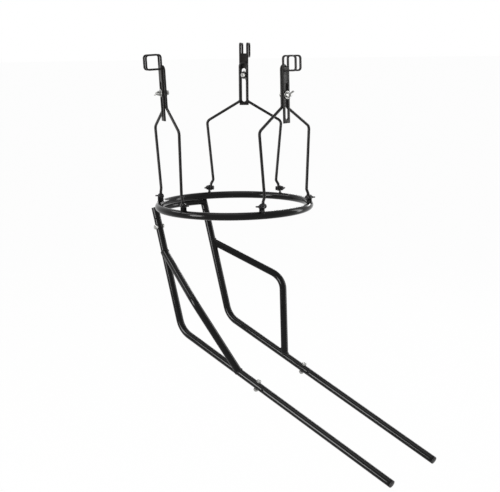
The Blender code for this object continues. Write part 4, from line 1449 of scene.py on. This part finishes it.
class CHUTE_OT_stage(bpy.types.Operator):
    """Set the floor, the soft lamps and the camera"""

    bl_idname = "chute.stage"
    bl_label = "Stage"

    def execute(self, context):
        """A wide pale floor below the hung part, five soft lamps and the reference camera."""
        scene = context.scene
        settings = scene.stage_settings
        lay_floor(scene, settings.floor_height, tuple(settings.floor_colour))
        for name, place, size, setting, share in LAMPS:
            hang_lamp(scene, name, place, size, getattr(settings, setting) * share)
        make_world(scene)
        lens = bpy.data.cameras.new("camera")
        lens.lens = CAMERA_LENS
        lens.sensor_width = CAMERA_SENSOR
        lens.clip_end = CAMERA_REACH
        camera = bpy.data.objects.new("camera", lens)
        scene.collection.objects.link(camera)
        matrix = Matrix((CAMERA_RIGHT, CAMERA_UP, CAMERA_BACK)).transposed().to_4x4()
        matrix.translation = CAMERA_PLACE
        camera.matrix_world = matrix
        scene.camera = camera
        scene.view_settings.view_transform = "Standard"
        return {"FINISHED"}


def lay_floor(scene, height, colour):
    """A level disc: circles of growing radius round the origin, joined, with a small cap."""
    around = np.linspace(0, 2 * np.pi, FLOOR_COLUMNS, endpoint=False)
    radii = np.array(FLOOR_RINGS)[:, None]
    level = np.full((len(FLOOR_RINGS), FLOOR_COLUMNS), height)
    points = np.stack([radii * np.cos(around), radii * np.sin(around), level], -1)
    grid, faces = closed_grid(points)
    data = bpy.data.meshes.new("floor")
    data.from_pydata(grid.tolist(), [], faces[:-1])
    data.materials.append(floor_finish(colour))
    floor = bpy.data.objects.new("floor", data)
    scene.collection.objects.link(floor)


def hang_lamp(scene, name, place, size, power):
    """A soft lamp of a width and a height that faces the middle of the part."""
    lamp = bpy.data.lights.new(name, "AREA")
    lamp.shape = "RECTANGLE"
    lamp.size, lamp.size_y = size
    lamp.energy = power
    holder = bpy.data.objects.new(name, lamp)
    scene.collection.objects.link(holder)
    back = unit(np.asarray(place, float) - LAMP_AIM)
    across = unit(np.cross((0, 0, 1), back))
    matrix = Matrix(np.array([across, np.cross(back, across), back]).T.tolist()).to_4x4()
    matrix.translation = place
    holder.matrix_world = matrix


def seen_directly(tree):
    """One for camera, glossy and transmission rays, zero for the rest."""
    rays = node_in(tree, "ShaderNodeLightPath")
    total = rays.outputs["Is Camera Ray"]
    for word in ("Is Glossy Ray", "Is Transmission Ray"):
        add = node_in(tree, "ShaderNodeMath", operation="MAXIMUM")
        tree.links.new(total, add.inputs[0])
        tree.links.new(rays.outputs[word], add.inputs[1])
        total = add.outputs[0]
    return total


def floor_finish(colour):
    """Pale matte floor that shows nearly white and keeps a soft shadow."""
    material = bpy.data.materials.new("pale_floor")
    material.use_nodes = True
    tree = material.node_tree
    shader = tree.nodes["Principled BSDF"]
    shader.inputs["Base Color"].default_value = (*colour, 1.0)
    shader.inputs["Roughness"].default_value = FLOOR_ROUGHNESS
    shader.inputs["Specular IOR Level"].default_value = FLOOR_SPECULAR
    glow = node_in(tree, "ShaderNodeEmission", {"Color": (1.0, 1.0, 1.0, 1.0)})
    share = node_in(tree, "ShaderNodeMath", {1: FLOOR_WHITE_SHARE}, operation="MULTIPLY")
    tree.links.new(seen_directly(tree), share.inputs[0])
    mix = node_in(tree, "ShaderNodeMixShader")
    tree.links.new(share.outputs[0], mix.inputs["Fac"])
    tree.links.new(shader.outputs["BSDF"], mix.inputs[1])
    tree.links.new(glow.outputs["Emission"], mix.inputs[2])
    tree.links.new(mix.outputs[0], tree.nodes["Material Output"].inputs["Surface"])
    return material


def make_world(scene):
    """Soft grey light from all round, white where it is seen."""
    world = bpy.data.worlds.new("studio")
    scene.world = world
    world.use_nodes = True
    tree = world.node_tree
    back = tree.nodes["Background"]
    back.inputs["Color"].default_value = (1.0, 1.0, 1.0, 1.0)
    strength = ranged(tree, seen_directly(tree), WORLD_LIGHT, WORLD_SHOWN, 0.0, 1.0)
    tree.links.new(strength, back.inputs["Strength"])


# ---------------------------------------------------------------- panel and registration


class CHUTE_PT_panel(bpy.types.Panel):
    """Sizes, colours and builders of the chute"""

    bl_idname = "CHUTE_PT_panel"
    bl_label = "Return Chute"
    bl_space_type = "VIEW_3D"
    bl_region_type = "UI"
    bl_category = "Chute"

    def draw(self, context):
        """List the settings and then the builders."""
        layout = self.layout
        for holder in ("chute_sizes", "hanger_sizes", "stage_settings"):
            group = getattr(context.scene, holder)
            box = layout.box()
            for key in group.bl_rna.properties.keys():
                if key not in ("rna_type", "name"):
                    box.prop(group, key)
        for operator in OPERATORS:
            layout.operator(operator.bl_idname)


OPERATORS = (CHUTE_OT_ring, CHUTE_OT_rails, CHUTE_OT_braces, CHUTE_OT_welds,
             CHUTE_OT_tube_bolts, CHUTE_OT_ears, CHUTE_OT_yokes, CHUTE_OT_clips,
             CHUTE_OT_stage)
CLASSES = (ChuteSizes, HangerSizes, StageSettings, *OPERATORS, CHUTE_PT_panel)


def register():
    """Register the classes and their settings on the scene."""
    for cls in CLASSES:
        bpy.utils.register_class(cls)
    bpy.types.Scene.chute_sizes = bpy.props.PointerProperty(type=ChuteSizes)
    bpy.types.Scene.hanger_sizes = bpy.props.PointerProperty(type=HangerSizes)
    bpy.types.Scene.stage_settings = bpy.props.PointerProperty(type=StageSettings)


def unregister():
    """Take the settings and the classes away."""
    del bpy.types.Scene.stage_settings
    del bpy.types.Scene.hanger_sizes
    del bpy.types.Scene.chute_sizes
    for cls in reversed(CLASSES):
        bpy.utils.unregister_class(cls)


def main():
    """Build everything in order."""
    register()
    make_finishes(bpy.context.scene)
    bpy.ops.chute.ring()
    bpy.ops.chute.rails()
    bpy.ops.chute.braces()
    bpy.ops.chute.welds()
    bpy.ops.chute.tube_bolts()
    bpy.ops.chute.ears()
    bpy.ops.chute.yokes()
    bpy.ops.chute.clips()
    bpy.ops.chute.stage()


if __name__ == "__main__":
    main()
